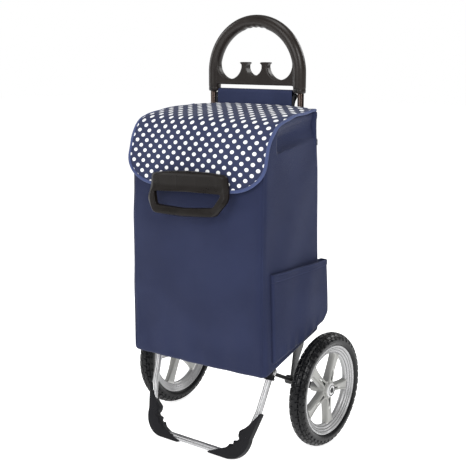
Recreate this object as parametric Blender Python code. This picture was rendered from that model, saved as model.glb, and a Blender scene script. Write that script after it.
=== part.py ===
"""Folding shopping trolley: two-wheeled aluminium frame with a folding foot loop, a moulded
handle, and a fabric bag with a hinged lid.

Frame: metres, +Z up, the front faces -Y, +X is on the right of someone facing the front.
The origin is on the floor, at the middle of the overall width and depth.
"""

import math

import bmesh
import bpy
from mathutils import Vector

for item in list(bpy.data.objects):
    bpy.data.objects.remove(item)

GAP = 0.0003  # clearance between pieces that touch

# Wheels
WHEEL_R = 0.145
WHEEL_X = 0.246  # middle plane of each wheel
AXLE_Y = 0.060
AXLE_R = 0.005
TYRE_HALF_WIDTH = 0.0216
TYRE_DEPTH = 0.0185  # half height of the tyre's section
TYRE_WALL = 0.0045
RIM_R = 0.1140
SPOKES = 5
SPOKE_TURN = {"left": 29, "right": 63}  # degrees, how far each wheel has rolled
WHEEL_SEGMENTS = 36
HUB_R = 0.0190
HUB_NUB_R = 0.0130
HUB_FACE = 0.0147  # outer face of the hub, from the wheel's middle plane
HUB_BACK = 0.0370

# Rear tubes and handle
TUBE_X = 0.1375
TUBE_Y = 0.094
TUBE_R = 0.008
TUBE_WALL = 0.0015
TUBE_FOOT_Z = 0.226
TUBE_TOP_Z = 0.9395
HANDLE_X = 0.1333  # centre line of each handle arm
HANDLE_R = 0.0162
HANDLE_FOOT_Z = 0.879
HANDLE_SPRING_Z = 0.928  # where the straight arms turn into the arch
HANDLE_TOP_Z = 1.072
CROSSBAR_FOOT_Z = 0.897
POST_X = 0.0322
POST_TOP_Z = 0.954
CROSSBAR_HALF = 0.010

# Lower frame, side stack from the inside out
PLATE_X = (0.1458, 0.1498)
RAIL_X = (0.1501, 0.1561)
HINGE_PLATE_X = (0.1564, 0.1604)
STRUT_FRONT_X = (0.1607, 0.1647)
STRUT_REAR_X = (0.1501, 0.1541)
KNUCKLE_X = (0.1668, 0.1888)
RAIL_HEIGHT = 0.010
PIN_R = 0.0035
PIVOT = Vector((0.0, -0.083, 0.215))  # the foot loop's hinge
RAIL_FRONT = Vector((0.0, -0.086, 0.2364))  # the rails lie along the underside of the bag
RAIL_REAR = Vector((0.0, 0.074, 0.2774))
REAR_BAR = Vector((0.0, 0.076, 0.2372))
FRONT_BAR = Vector((0.0, -0.101, 0.2290))
AXLE = Vector((0.0, AXLE_Y, WHEEL_R))

# Foot loop, in its own leaning plane: x across, d down from the hinge
FOOT_LEAN = math.radians(21.0)
FOOT_BAR_D = 0.2185
FOOT_TOP_X = 0.1778
FOOT_SPLAY = 0.10  # how much each side comes in per metre of d
FOOT_CORNER = 0.046
LOOP_WIDTH = 0.017
LOOP_THICKNESS = 0.012
LOOP_WALL = 0.0018
SHOE_WEB = 0.0200  # how far a shoe fills the corner inside the loop
SHOE_WAVES = 4.5
SHOE_TAPER = 0.24  # share of a shoe's length over which each end narrows to the outside

# Bag, in sheared heights: z = h + BAG_SLOPE * (y - BAG_FRONT)
BAG_SLOPE = 0.268
BAG_FRONT = -0.155
BAG_REAR = 0.083
BAG_HALF = 0.204
BAG_WALL = 0.004
BAG_FLOOR_H = 0.225
BAG_RIM_H = 0.797
BAG_SLOPE_EASE = 0.068
LID_THICKNESS = 0.003
LID_HALF = 0.213
LID_HINGE = Vector((0.0, 0.080, 0.8475))


def bag_z(y, h):
    """Height of a point on the bag's wall; its sections get flatter towards the rim."""
    slope = BAG_SLOPE - BAG_SLOPE_EASE * min(max((h - 0.62) / (BAG_RIM_H - 0.62), 0.0), 1.0)
    return h + slope * (y - BAG_FRONT)


def make_material(name, colour, roughness, metallic=0.0):
    material = bpy.data.materials.new(name)
    material.use_nodes = True
    shader = material.node_tree.nodes["Principled BSDF"]
    shader.inputs["Base Color"].default_value = (*colour, 1.0)
    shader.inputs["Roughness"].default_value = roughness
    shader.inputs["Metallic"].default_value = metallic
    return material


MATERIALS = {
    "aluminium": make_material("aluminium", (0.72, 0.73, 0.75), 0.28, 1.0),
    "tube_bronze": make_material("tube_bronze", (0.36, 0.31, 0.28), 0.30, 1.0),
    "black_steel": make_material("black_steel", (0.02, 0.02, 0.022), 0.35, 0.6),
    "bright_steel": make_material("bright_steel", (0.75, 0.75, 0.76), 0.22, 1.0),
    "black_plastic": make_material("black_plastic", (0.018, 0.016, 0.015), 0.42),
    "grip_plastic": make_material("grip_plastic", (0.030, 0.022, 0.018), 0.36),
    "rim_plastic": make_material("rim_plastic", (0.42, 0.42, 0.41), 0.38, 0.2),
    "cap_plastic": make_material("cap_plastic", (0.80, 0.80, 0.80), 0.30),
    "tyre_rubber": make_material("tyre_rubber", (0.012, 0.013, 0.016), 0.55),
    "navy_fabric": make_material("navy_fabric", (0.030, 0.045, 0.115), 0.85),
    "dotted_fabric": make_material("dotted_fabric", (0.035, 0.050, 0.130), 0.80),
    "webbing": make_material("webbing", (0.012, 0.012, 0.014), 0.80),
    "board": make_material("board", (0.05, 0.05, 0.055), 0.70),
}


def make_empty(name, location):
    empty = bpy.data.objects.new(name, None)
    empty.location = location
    bpy.context.scene.collection.objects.link(empty)
    return empty


def build(name, mesh, material, parent=None):
    """Turn a bmesh in world coordinates into a named object, hung on its parent."""
    bmesh.ops.recalc_face_normals(mesh, faces=mesh.faces)
    if parent:
        bmesh.ops.translate(mesh, vec=-parent.location, verts=mesh.verts)
    data = bpy.data.meshes.new(name)
    mesh.to_mesh(data)
    mesh.free()
    data.materials.append(MATERIALS[material])
    data.shade_smooth()
    data.set_sharp_from_angle(angle=math.radians(32))
    made = bpy.data.objects.new(name, data)
    made.parent = parent
    bpy.context.scene.collection.objects.link(made)
    return made


def skinned(rings, wrap=False):
    """Join rings of points with quads; close the ends, or join the last ring to the first."""
    mesh = bmesh.new()
    loops = [[mesh.verts.new(point) for point in ring] for ring in rings]
    pairs = list(zip(loops, loops[1:]))
    if wrap:
        pairs.append((loops[-1], loops[0]))
    else:
        mesh.faces.new(loops[0])
        mesh.faces.new(loops[-1])
    for low, high in pairs:
        for i in range(len(low)):
            k = (i + 1) % len(low)
            mesh.faces.new((low[i], low[k], high[k], high[i]))
    return mesh


def arc(centre, radius, start, end, steps):
    """Points on an arc in a plane; angles in degrees, radius a number or a pair."""
    wide, high = radius if isinstance(radius, tuple) else (radius, radius)
    angles = [math.radians(start + (end - start) * i / steps) for i in range(steps + 1)]
    return [(centre[0] + wide * math.cos(a), centre[1] + high * math.sin(a)) for a in angles]


def extruded(outline, low, high, axis="x"):
    """A flat outline given as (y, z), (x, z) or (x, y), extruded along the remaining axis."""
    place = {
        "x": lambda u, v, t: (t, u, v),
        "y": lambda u, v, t: (u, t, v),
        "z": lambda u, v, t: (u, v, t),
    }[axis]
    return skinned([[place(u, v, t) for u, v in outline] for t in (low, high)])


def link_outline(a, radius_a, b, radius_b, steps=6):
    """Outline of a flat link with a round end about a and another about b, as (y, z)."""
    heading = math.degrees(math.atan2(b.z - a.z, b.y - a.y))
    outline = arc((a.y, a.z), radius_a, heading + 90, heading + 270, steps)
    outline += arc((b.y, b.z), radius_b, heading - 90, heading + 90, steps)
    return outline


def turned(profile, centre, segments=12, wrap=False, axis="x"):
    """A profile of (along, radius) points turned about an axis through centre."""
    rings = []
    for along, radius in profile:
        ring = []
        for i in range(segments):
            a = 2 * math.pi * i / segments
            u, v = radius * math.cos(a), radius * math.sin(a)
            if axis == "x":
                ring.append((along, centre.y + u, centre.z + v))
            elif axis == "y":
                ring.append((centre.x + u, along, centre.z + v))
            else:
                ring.append((centre.x + u, centre.y + v, along))
        rings.append(ring)
    return skinned(rings, wrap)


def sleeve(low, high, inner, outer, centre, segments=12, axis="x"):
    profile = [(low, inner), (low, outer), (high, outer), (high, inner)]
    return turned(profile, centre, segments, True, axis)


def headed_pin(low, high, radius, head_radius, head_high, centre, segments=10, axis="x"):
    profile = [(low, radius), (high, radius), (high, head_radius), (head_high, head_radius)]
    return turned(profile, centre, segments, False, axis)


def boolean(target, tool_mesh, operation="DIFFERENCE"):
    tool = build(f"{target.name}_{operation.lower()}_{len(target.modifiers)}", tool_mesh,
                 "board", target.parent)
    tool.hide_render = True
    tool.display_type = "WIRE"
    modifier = target.modifiers.new(tool.name, "BOOLEAN")
    modifier.operation = operation
    modifier.solver = "EXACT"
    modifier.object = tool


def smooth_step(t):
    t = min(max(t, 0.0), 1.0)
    return t * t * (3 - 2 * t)


def interpolate(pairs, value):
    """Linear interpolation in a short list of (position, value) pairs."""
    for (a, first), (b, second) in zip(pairs, pairs[1:]):
        if value <= b:
            return first + (second - first) * (value - a) / (b - a)
    return pairs[-1][1]


# ---------------------------------------------------------------- wheels


def make_wheel(side, s, wheel, button_empty):
    """One wheel: tyre, inner tube, spoked rim, bush, hub cap and release button."""
    centre = Vector((0.0, AXLE_Y, WHEEL_R))

    def across(profile):
        return [(s * (WHEEL_X + u), r) for u, r in profile]

    middle = WHEEL_R - TYRE_DEPTH
    outer = arc((0, middle), (TYRE_HALF_WIDTH, TYRE_DEPTH), -35, 215, 8)
    inner = arc((0, middle), (TYRE_HALF_WIDTH - TYRE_WALL, TYRE_DEPTH - TYRE_WALL), 215, -35, 6)
    tyre = turned(across(outer + inner), centre, WHEEL_SEGMENTS, True)
    build(f"tyre_{side}", tyre, "tyre_rubber", wheel)
    tube = turned(across(arc((0, middle), 0.0118, 0, 300, 5)), centre, 24, True)
    build(f"inner_tube_{side}", tube, "tyre_rubber", wheel)

    half = [(0.0165, RIM_R), (0.0125, RIM_R), (0.0100, 0.1108)]
    inside = [(0.0055, 0.0910), (0.0120, 0.0985), (0.0165, 0.1080)]
    barrel = [(-u, r) for u, r in half] + half[::-1]
    barrel += inside[::-1] + [(-u, r) for u, r in inside]
    rim = build(f"wheel_rim_{side}", turned(across(barrel), centre, WHEEL_SEGMENTS, True),
                "rim_plastic", wheel)
    hub = [(-HUB_BACK, HUB_NUB_R), (-0.0150, HUB_NUB_R), (-0.0100, HUB_R), (HUB_FACE, HUB_R)]
    spokes_and_hub = turned(across(hub), centre, 20)
    boolean(rim, spokes_and_hub, "UNION")
    for i in range(SPOKES):
        a = math.radians(SPOKE_TURN[side] + 360 / SPOKES * i)
        along, square = Vector((0, math.cos(a), math.sin(a))), Vector((0, -math.sin(a), math.cos(a)))
        rings = []
        for r, wide, low, high in ((0.010, 0.0095, -0.009, 0.0125), (0.045, 0.0100, -0.007, 0.0090),
                                   (0.098, 0.0140, -0.0052, 0.0052)):
            corners = ((-wide, low), (wide, low), (wide * 0.72, high), (-wide * 0.72, high))
            rings.append([centre + along * r + square * u + Vector((s * (WHEEL_X + v), 0, 0))
                          for u, v in corners])
        boolean(rim, skinned(rings), "UNION")
    bush_r = 0.0082
    bore = turned(across([(-HUB_BACK - 0.01, bush_r + GAP), (HUB_FACE + 0.01, bush_r + GAP)]),
                  centre, 16)
    boolean(rim, bore)
    ends = sorted((s * (WHEEL_X - HUB_BACK + 0.0005), s * (WHEEL_X + 0.0075)))
    build(f"hub_bush_{side}", sleeve(*ends, AXLE_R + GAP, bush_r, centre), "bright_steel", wheel)

    cap = across([(0.0150, 0.0070), (0.0150, 0.0172), (0.0185, 0.0172), (0.0200, 0.0150),
                  (0.0200, 0.0070)])
    build(f"hub_cap_{side}", turned(cap, centre, 20, True), "cap_plastic", wheel)
    button = across([(0.0125, 0.0064), (0.0205, 0.0064), (0.0216, 0.0052)])
    build(f"release_button_{side}", turned(button, centre, 14), "black_plastic", button_empty)


# ---------------------------------------------------------------- lower frame


def make_lower_side(side, s):
    """The bracket, rail, strut, stub axle and pins on one side of the fixed lower frame."""

    def span(pair):
        return sorted((s * pair[0], s * pair[1]))

    outline = arc((TUBE_Y + 0.006, 0.250), 0.010, -30, 60, 3)
    outline += arc((RAIL_REAR.y, RAIL_REAR.z), 0.0065, 30, 180, 4)
    outline += [(REAR_BAR.y - 0.010, 0.256), (REAR_BAR.y - 0.013, 0.226)]
    outline += arc((AXLE.y, AXLE.z), 0.0115, 165, 350, 7)
    outline += [(0.082, 0.190), (TUBE_Y + 0.013, 0.228)]
    bracket = build(f"axle_bracket_{side}", extruded(outline, *span(PLATE_X)), "black_steel")
    boss = turned([(s * 0.1300, 0.0115), (s * 0.1478, 0.0115)], AXLE, 14)
    boolean(bracket, boss, "UNION")
    boolean(bracket, turned([(s * 0.12, AXLE_R + GAP), (s * 0.16, AXLE_R + GAP)], AXLE))
    tube_bolt_at = Vector((0, TUBE_Y, 0.243))
    for centre in (tube_bolt_at, REAR_BAR):
        boolean(bracket, turned([(s * 0.140, PIN_R + GAP), (s * 0.155, PIN_R + GAP)], centre, 10))

    reach = RAIL_HEIGHT / 2
    build(f"shelf_rail_{side}",
          extruded(link_outline(RAIL_FRONT, reach, RAIL_REAR, reach, 4), *span(RAIL_X)),
          "aluminium")

    outline = arc((PIVOT.y, PIVOT.z), 0.0120, 175, 360, 8)
    outline += arc((RAIL_FRONT.y + 0.004, RAIL_FRONT.z), 0.0070, 0, 110, 4)
    outline += arc((FRONT_BAR.y, FRONT_BAR.z), 0.0085, 110, 215, 4)
    hinge = build(f"hinge_plate_{side}", extruded(outline, *span(HINGE_PLATE_X)), "black_steel")
    boolean(hinge, turned([(s * 0.154, PIN_R + GAP), (s * 0.163, PIN_R + GAP)], PIVOT, 10))

    make_strut(side, s)
    build(f"stub_axle_{side}",
          headed_pin(s * 0.2545, s * 0.1297, AXLE_R, 0.0090, s * 0.1262, AXLE, 14),
          "bright_steel")
    build(f"axle_collar_{side}", sleeve(*span((0.1546, 0.2082)), AXLE_R + GAP, 0.0090, AXLE, 14),
          "black_plastic")
    build(f"foot_pivot_pin_{side}",
          headed_pin(s * 0.1465, s * 0.1891, PIN_R, 0.0068, s * 0.1911, PIVOT), "bright_steel")
    build(f"foot_pivot_nut_{side}", sleeve(*span((0.1455, 0.1498)), PIN_R + GAP, 0.0065, PIVOT, 12),
          "bright_steel")
    build(f"rail_bolt_{side}",
          headed_pin(s * 0.1461, s * 0.1501, PIN_R, 0.0062, s * 0.1529, REAR_BAR), "bright_steel")
    build(f"tube_bolt_{side}",
          headed_pin(s * 0.1461, s * 0.1501, PIN_R, 0.0062, s * 0.1529, tube_bolt_at),
          "bright_steel")


def make_strut(side, s):
    """A flat brace from the foot loop's hinge to the stub axle, cranked in behind the hinge."""
    way = (AXLE - PIVOT).normalized()
    length = (AXLE - PIVOT).length
    square = Vector((0, -way.z, way.y))
    stations = [(0.0, STRUT_FRONT_X), (0.016, STRUT_FRONT_X), (0.036, STRUT_REAR_X),
                (length, STRUT_REAR_X)]
    half = 0.0048
    rings = []
    for along, (low, high) in stations:
        point = PIVOT + way * along
        rings.append([(s * x, *(point + square * side_of).yz) for x, side_of in
                      ((low, -half), (high, -half), (high, half), (low, half))])
    strut = build(f"brace_strut_{side}", skinned(rings), "black_steel")
    for centre, ends, hole in ((PIVOT, STRUT_FRONT_X, PIN_R), (AXLE, STRUT_REAR_X, AXLE_R)):
        eye = [(s * ends[0], 0.0098), (s * ends[1], 0.0098)]
        boolean(strut, turned(eye, centre, 14), "UNION")
        bore = [(s * (ends[0] - 0.004), hole + GAP), (s * (ends[1] + 0.004), hole + GAP)]
        boolean(strut, turned(bore, centre))


def make_crossbars():
    for name, centre, plate in (("front", FRONT_BAR, HINGE_PLATE_X), ("rear", REAR_BAR, PLATE_X)):
        reach = plate[0] - GAP
        build(f"shelf_crossbar_{name}", turned([(-reach, 0.005), (reach, 0.005)], centre),
              "aluminium")


# ---------------------------------------------------------------- foot loop


def foot_point(x, d, w=0.0):
    """A point in the foot loop's plane, w in front of it."""
    return Vector((
        x,
        PIVOT.y - d * math.sin(FOOT_LEAN) - w * math.cos(FOOT_LEAN),
        PIVOT.z - d * math.cos(FOOT_LEAN) + w * math.sin(FOOT_LEAN),
    ))


def foot_centre_line(steps=6):
    """The right half of the loop's centre line, from its top down and in to the middle."""
    corner_x = FOOT_TOP_X - FOOT_SPLAY * (FOOT_BAR_D - 0.016)
    lean = math.atan(FOOT_SPLAY)
    turn = math.pi / 2 + lean  # how far the line turns at the corner
    tangent = FOOT_CORNER * math.tan(turn / 2)
    centre = Vector((corner_x - tangent, FOOT_BAR_D - FOOT_CORNER))
    line = [(FOOT_TOP_X, 0.012), (FOOT_TOP_X, 0.016), (FOOT_TOP_X - FOOT_SPLAY * 0.085, 0.101)]
    for i in range(steps + 1):
        a = -lean + turn * i / steps
        line.append((centre.x + FOOT_CORNER * math.cos(a), centre.y + FOOT_CORNER * math.sin(a)))
    line += [(0.085, FOOT_BAR_D), (0.060, FOOT_BAR_D)]
    return [Vector(point) for point in line]


def loop_rings(line, section):
    """Rings along a line in the loop's plane; section gives (across, through) offsets."""
    rings = []
    for i, point in enumerate(line):
        before, after = line[max(i - 1, 0)], line[min(i + 1, len(line) - 1)]
        way = (after - before).normalized()
        out = Vector((-way.y, way.x)) * -1
        rings.append([foot_point(*(point + out * u), w) for u, w in section(i)])
    return rings


def oval(width, thickness, steps=4):
    r = thickness / 2
    flat = width / 2 - r
    return arc((flat, 0), r, -90, 90, steps) + arc((-flat, 0), r, 90, 270, steps)


def make_foot_loop(foot):
    right = foot_centre_line()
    line = right + [Vector((-p.x, p.y)) for p in reversed(right)]
    outer = loop_rings(line, lambda i: oval(LOOP_WIDTH, LOOP_THICKNESS))
    hollow = oval(LOOP_WIDTH - 2 * LOOP_WALL, LOOP_THICKNESS - 2 * LOOP_WALL)
    inner = loop_rings(line, lambda i: hollow)
    build("foot_loop", skinned(outer + inner[::-1], True), "aluminium", foot)


def shoe_line(count=17):
    """The corner stretch of the centre line that a shoe covers, evenly spaced."""
    line = foot_centre_line(10)[2:-1]
    line.append(Vector((0.050, FOOT_BAR_D)))
    lengths = [0.0]
    for a, b in zip(line, line[1:]):
        lengths.append(lengths[-1] + (b - a).length)
    points = []
    for k in range(count):
        target = lengths[-1] * k / (count - 1)
        i = max(j for j in range(len(line) - 1) if lengths[j] <= target + 1e-9)
        share = (target - lengths[i]) / (lengths[i + 1] - lengths[i])
        points.append(line[i].lerp(line[i + 1], share))
    return points


def make_foot_shoe(side, s, foot):
    """A plastic corner shoe round the loop, its inner edge wavy, its sole flat on the floor."""
    line = shoe_line()
    last = len(line) - 1
    snug = LOOP_WIDTH / 2 + GAP

    def section(i):
        t = i / last
        web = SHOE_WEB * math.sin(math.pi * t) ** 1.3
        wave = 0.0026 * math.cos(2 * math.pi * SHOE_WAVES * t) * math.sin(math.pi * t)
        outward = snug + 0.0028
        full = -(snug + 0.0020 + max(web + wave, 0.0))
        narrow = outward - 0.0032
        inward = narrow + (full - narrow) * smooth_step(min(t, 1 - t) / SHOE_TAPER)
        half = LOOP_THICKNESS / 2 + GAP + 0.0024
        ease = 0.002
        return [(inward, -half + ease), (inward + ease, -half), (outward - ease, -half),
                (outward, -half + ease), (outward, half - ease), (outward - ease, half),
                (inward + ease, half), (inward, half - ease)]

    mesh = skinned([[(s * p.x, p.y, p.z) for p in ring] for ring in loop_rings(line, section)])
    everything = mesh.verts[:] + mesh.edges[:] + mesh.faces[:]
    cut = bmesh.ops.bisect_plane(mesh, geom=everything, plane_co=(0, 0, 0), plane_no=(0, 0, 1),
                                 clear_inner=True)
    rim = [item for item in cut["geom_cut"] if isinstance(item, bmesh.types.BMEdge)]
    bmesh.ops.edgeloop_fill(mesh, edges=rim)
    shoe = build(f"foot_shoe_{side}", mesh, "black_plastic", foot)
    channel = foot_centre_line()[1:]
    channel.append(Vector((0.030, FOOT_BAR_D)))
    wide = oval(LOOP_WIDTH + 2 * GAP, LOOP_THICKNESS + 2 * GAP)
    rings = loop_rings(channel, lambda i: wide)
    boolean(shoe, skinned([[(s * p.x, p.y, p.z) for p in ring] for ring in rings]))


def make_foot_knuckle(side, s, foot):
    """The socket on the loop's upper end, with the hinge's eye."""
    depth = 0.0190
    rings = []
    for d in (-0.0005, 0.016, depth):
        shift = FOOT_SPLAY * max(d - 0.016, 0.0)
        low, high = KNUCKLE_X[0] - shift, KNUCKLE_X[1] - shift
        rings.append([foot_point(s * x, d, w) for x, w in
                      ((low, -0.0095), (high, -0.0095), (high, 0.0095), (low, 0.0095))])
    knuckle = build(f"foot_knuckle_{side}", skinned(rings), "black_plastic", foot)
    eye = [(s * KNUCKLE_X[0], 0.0108), (s * KNUCKLE_X[1], 0.0108)]
    boolean(knuckle, turned(eye, PIVOT, 18), "UNION")
    bore = [(s * (KNUCKLE_X[0] - 0.004), PIN_R + GAP), (s * (KNUCKLE_X[1] + 0.004), PIN_R + GAP)]
    boolean(knuckle, turned(bore, PIVOT))
    top = FOOT_TOP_X
    channel = [Vector((top, 0.0117)), Vector((top, 0.016)), Vector((top - FOOT_SPLAY * 0.05, 0.066))]
    wide = oval(LOOP_WIDTH + 2 * GAP, LOOP_THICKNESS + 2 * GAP)
    rings = loop_rings(channel, lambda i: wide)
    boolean(knuckle, skinned([[(s * p.x, p.y, p.z) for p in ring] for ring in rings]))


# ---------------------------------------------------------------- tubes and handle


def make_handle():
    top = HANDLE_TOP_Z - HANDLE_R
    path = [(-HANDLE_X, HANDLE_FOOT_Z)]
    path += arc((0, HANDLE_SPRING_Z), (HANDLE_X, top - HANDLE_SPRING_Z), 180, 0, 18)
    path += [(HANDLE_X, HANDLE_FOOT_Z)]
    path = [Vector(point) for point in path]
    rings = []
    for i, point in enumerate(path):
        way = (path[min(i + 1, len(path) - 1)] - path[max(i - 1, 0)]).normalized()
        out = Vector((-way.y, way.x))
        if i in (0, len(path) - 1):
            out = Vector((-1 if i == 0 else 1, 0))
        rings.append([(point.x + out.x * u, TUBE_Y + w, point.y + out.y * u)
                      for u, w in arc((0, 0), HANDLE_R, 0, 330, 11)])
    handle = build("handle", skinned(rings), "grip_plastic")
    boolean(handle, extruded(crossbar_outline(), TUBE_Y - CROSSBAR_HALF, TUBE_Y + CROSSBAR_HALF,
                             "y"), "UNION")
    for s in (-1, 1):
        centre = Vector((s * TUBE_X, TUBE_Y, 0))
        boolean(handle, turned([(0.86, TUBE_R + GAP), (TUBE_TOP_Z + GAP, TUBE_R + GAP)],
                               centre, 14, axis="z"))
        at = Vector((s * HANDLE_X, 0, 0.887))
        boolean(handle, turned([(0.070, 0.0023), (0.0862, 0.0023)], at, 8, axis="y"))
        side = "right" if s > 0 else "left"
        build(f"handle_screw_{side}",
              headed_pin(0.0855, 0.0774, 0.0020, 0.0036, 0.0756, at, 8, "y"), "bright_steel")
        tube = sleeve(TUBE_FOOT_Z, TUBE_TOP_Z, TUBE_R - TUBE_WALL, TUBE_R, centre, 14, "z")
        build(f"rear_tube_{side}", tube, "tube_bronze")


def crossbar_outline():
    """The bar under the arch with its two flared posts and three round valleys, as (x, z)."""
    side, middle = 0.0385, 0.0250  # radii of the side valleys and the middle one
    right = [(0.126, CROSSBAR_FOOT_Z), (0.126, 0.962), (0.1165, 0.962)]
    right += arc((0.0778, 0.9495), side, 8, -170, 10)
    right += [(POST_X + 0.0078, 0.9475), (POST_X + 0.0130, 0.9515), (POST_X + 0.0125, POST_TOP_Z)]
    right += [(POST_X - 0.0125, POST_TOP_Z), (POST_X - 0.0130, 0.9515), (POST_X - 0.0078, 0.9475)]
    right += arc((0, 0.9450), middle, -8, -90, 5)
    left = [(-x, z) for x, z in right[:-1]]
    return right + left[::-1]


# ---------------------------------------------------------------- bag


FRONT_PROFILE = ((0.225, -0.155), (0.45, -0.155), (0.62, -0.152), (0.70, -0.145),
                 (0.75, -0.132), (BAG_RIM_H, -0.110))


def bag_ring(h, inset, steps=3):
    """A closed, rounded section of the bag on a sloping plane, inset from its outside."""
    front = interpolate(FRONT_PROFILE, h) + inset
    rear = BAG_REAR - inset
    half = BAG_HALF - inset
    r = 0.018 - inset * 0.5
    corners = (((half - r, rear - r), 0), ((-half + r, rear - r), 90),
               ((-half + r, front + r), 180), ((half - r, front + r), 270))
    flat = [p for centre, a in corners for p in arc(centre, r, a, a + 90, steps)]
    return [(x, y, bag_z(y, h)) for x, y in flat]


def make_bag():
    heights = [h for h, _ in FRONT_PROFILE]
    outer = [bag_ring(h, 0.0) for h in heights]
    floor = BAG_FLOOR_H + BAG_WALL
    inner = [bag_ring(h, BAG_WALL) for h in reversed([floor] + heights[1:])]
    build("bag_body", skinned(outer + inner), "navy_fabric")
    board_low, board_high = floor + GAP * 2, floor + 0.0038
    edge = [(-0.182, -0.138), (0.182, -0.138), (0.182, 0.070), (-0.182, 0.070)]
    build("base_board", skinned([[(x, y, bag_z(y, h)) for x, y in edge]
                                 for h in (board_low, board_high)]), "board")
    build("back_panel", extruded([(0.0838, 0.560), (0.0868, 0.560), (0.0868, 0.880),
                                  (0.0938, 0.884), (0.0938, 0.888), (0.0838, 0.888)],
                                 -0.1165, 0.1165), "navy_fabric")
    build("hanger_rod", turned([(-0.1280, 0.004), (0.1280, 0.004)], Vector((0, 0.0945, 0.8720)), 10),
          "black_steel")
    for side, s in (("left", -1), ("right", 1)):
        low, high = sorted((s * 0.1176, s * 0.1240))
        build(f"hang_strap_{side}", extruded([(0.0840, 0.56), (0.0858, 0.56), (0.0858, 0.878),
                                              (0.0840, 0.878)], low, high), "webbing")
        make_side_pocket(side, s)
    make_rear_pocket()


def make_side_pocket(side, s):
    """A gusseted pocket on the bag's side, deeper towards the rear and open at the top."""
    low_h, rim_z = 0.243, 0.472
    face = BAG_HALF + GAP

    def wedge(inset, top, inner_x):
        front, rear = -0.128 + inset, 0.094 - inset
        base = low_h + inset
        outside = [(0.2115 - inset, front), (0.2235 - inset, rear)]
        rings = []
        for x, y in outside[:1] + [(inner_x, front), (inner_x, rear)] + outside[1:]:
            rings.append((x, y))
        low = [(s * x, y, bag_z(y, base + (0.012 if y > 0 else 0.0))) for x, y in rings]
        high = [(s * x, y, top) for x, y in rings]
        return skinned([low, high])

    pocket = build(f"side_pocket_{side}", wedge(0.0, rim_z, face), "navy_fabric")
    boolean(pocket, wedge(0.003, rim_z + 0.05, face - 0.01))


def make_rear_pocket():
    """A flat pouch behind the tubes, open at the top, gathered by an elastic rim."""
    half, near, far, low, high = 0.176, 0.1030, 0.136, 0.44, 0.765

    def block(inset, top):
        outline = [(half - inset, near + inset), (half - 0.02, far - inset),
                   (-half + 0.02, far - inset), (-half + inset, near + inset)]
        return skinned([[(x, y, z) for x, y in outline] for z in (low + inset, top)])

    pocket = build("rear_pocket", block(0.0, high), "navy_fabric")
    boolean(pocket, block(0.003, high + 0.05))


# ---------------------------------------------------------------- lid


LID_PATH = ((0.0790, 0.8478), (0.0300, 0.8415), (-0.0300, 0.8335), (-0.0800, 0.8250),
            (-0.1080, 0.8160), (-0.1260, 0.7990), (-0.1420, 0.7700), (-0.1550, 0.7250),
            (-0.1625, 0.6840), (-0.1650, 0.6600))
FLAP_CORNER = (0.100, 0.072)  # half axes of the flap's rounded lower corners
GRAB_TILT = math.radians(2.4)
GRAB_MIDDLE_Z = 0.650
GRAB_OUTER = ((0.0, 0.7040), (0.060, 0.7020), (0.108, 0.6970), (0.1155, 0.6920), (0.1235, 0.6420),
              (0.1215, 0.6330), (0.0990, 0.6045), (0.0900, 0.6010), (0.0, 0.5975))
GRAB_INNER = ((0.0, 0.6545), (0.0990, 0.6530), (0.1030, 0.6490), (0.0900, 0.6255),
              (0.0850, 0.6220), (0.0, 0.6175))


def lid_half(z):
    """Half width of the lid at a height: full, then rounded in towards the flap's lower edge."""
    low = LID_PATH[-1][1]
    rise = min(max((z - low) / FLAP_CORNER[1], 0.0), 1.0)
    return LID_HALF - FLAP_CORNER[0] * (1 - math.sqrt(1 - (1 - rise) ** 2))


def make_lid(lid):
    columns = 8
    path = [Vector(point) for point in LID_PATH]
    lower = path[:-2]
    for z in (0.712, 0.700, 0.688, 0.678, 0.670, 0.664, 0.661, 0.660):
        lower.append(Vector((lid_front_y(z), z)))
    rings = []
    for i, point in enumerate(lower):
        way = (lower[min(i + 1, len(lower) - 1)] - lower[max(i - 1, 0)]).normalized()
        up = Vector((way.y, -way.x))
        half = lid_half(point.y) if point.y < 0.78 else LID_HALF
        xs = [half * (2 * k / columns - 1) for k in range(columns + 1)]
        top = point + up * LID_THICKNESS
        rings.append([(x, point.x, point.y) for x in xs] + [(x, top.x, top.y) for x in xs[::-1]])
    flap = build("lid_flap", skinned(rings), "dotted_fabric", lid)
    handle = make_grab_handle(lid)
    backing = [(-0.095, 0.664), (0.095, 0.664), (0.095, 0.692), (-0.095, 0.692)]
    mesh = skinned([[(x, lid_front_y(z) + away, z) for x, z in backing] for away in (0.0005, 0.0025)])
    plate = build("handle_backing_plate", mesh, "board", lid)
    for side, s in (("left", -1), ("right", 1)):
        rivet_x, rivet_z = askew(s * 0.075, 0.678)
        at = Vector((rivet_x, 0, rivet_z))
        hole = [(-0.1760, 0.0024), (-0.150, 0.0024)]
        for target in (flap, handle, plate):
            boolean(target, turned(hole, at, 8, axis="y"))
        back = lid_front_y(at.z) + 0.0042
        build(f"handle_rivet_{side}",
              headed_pin(-0.1755, back, 0.0020, 0.0042, back + 0.0014, at, 8, "y"),
              "bright_steel", lid)


def lid_front_y(z):
    """The inner face of the hanging flap at a height."""
    return interpolate([(-b, a) for a, b in LID_PATH], -z)


def askew(x, z):
    """The grab handle hangs a little higher on the right."""
    c, q = math.cos(GRAB_TILT), math.sin(GRAB_TILT)
    return (c * x - q * (z - GRAB_MIDDLE_Z), GRAB_MIDDLE_Z + q * x + c * (z - GRAB_MIDDLE_Z))


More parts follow.
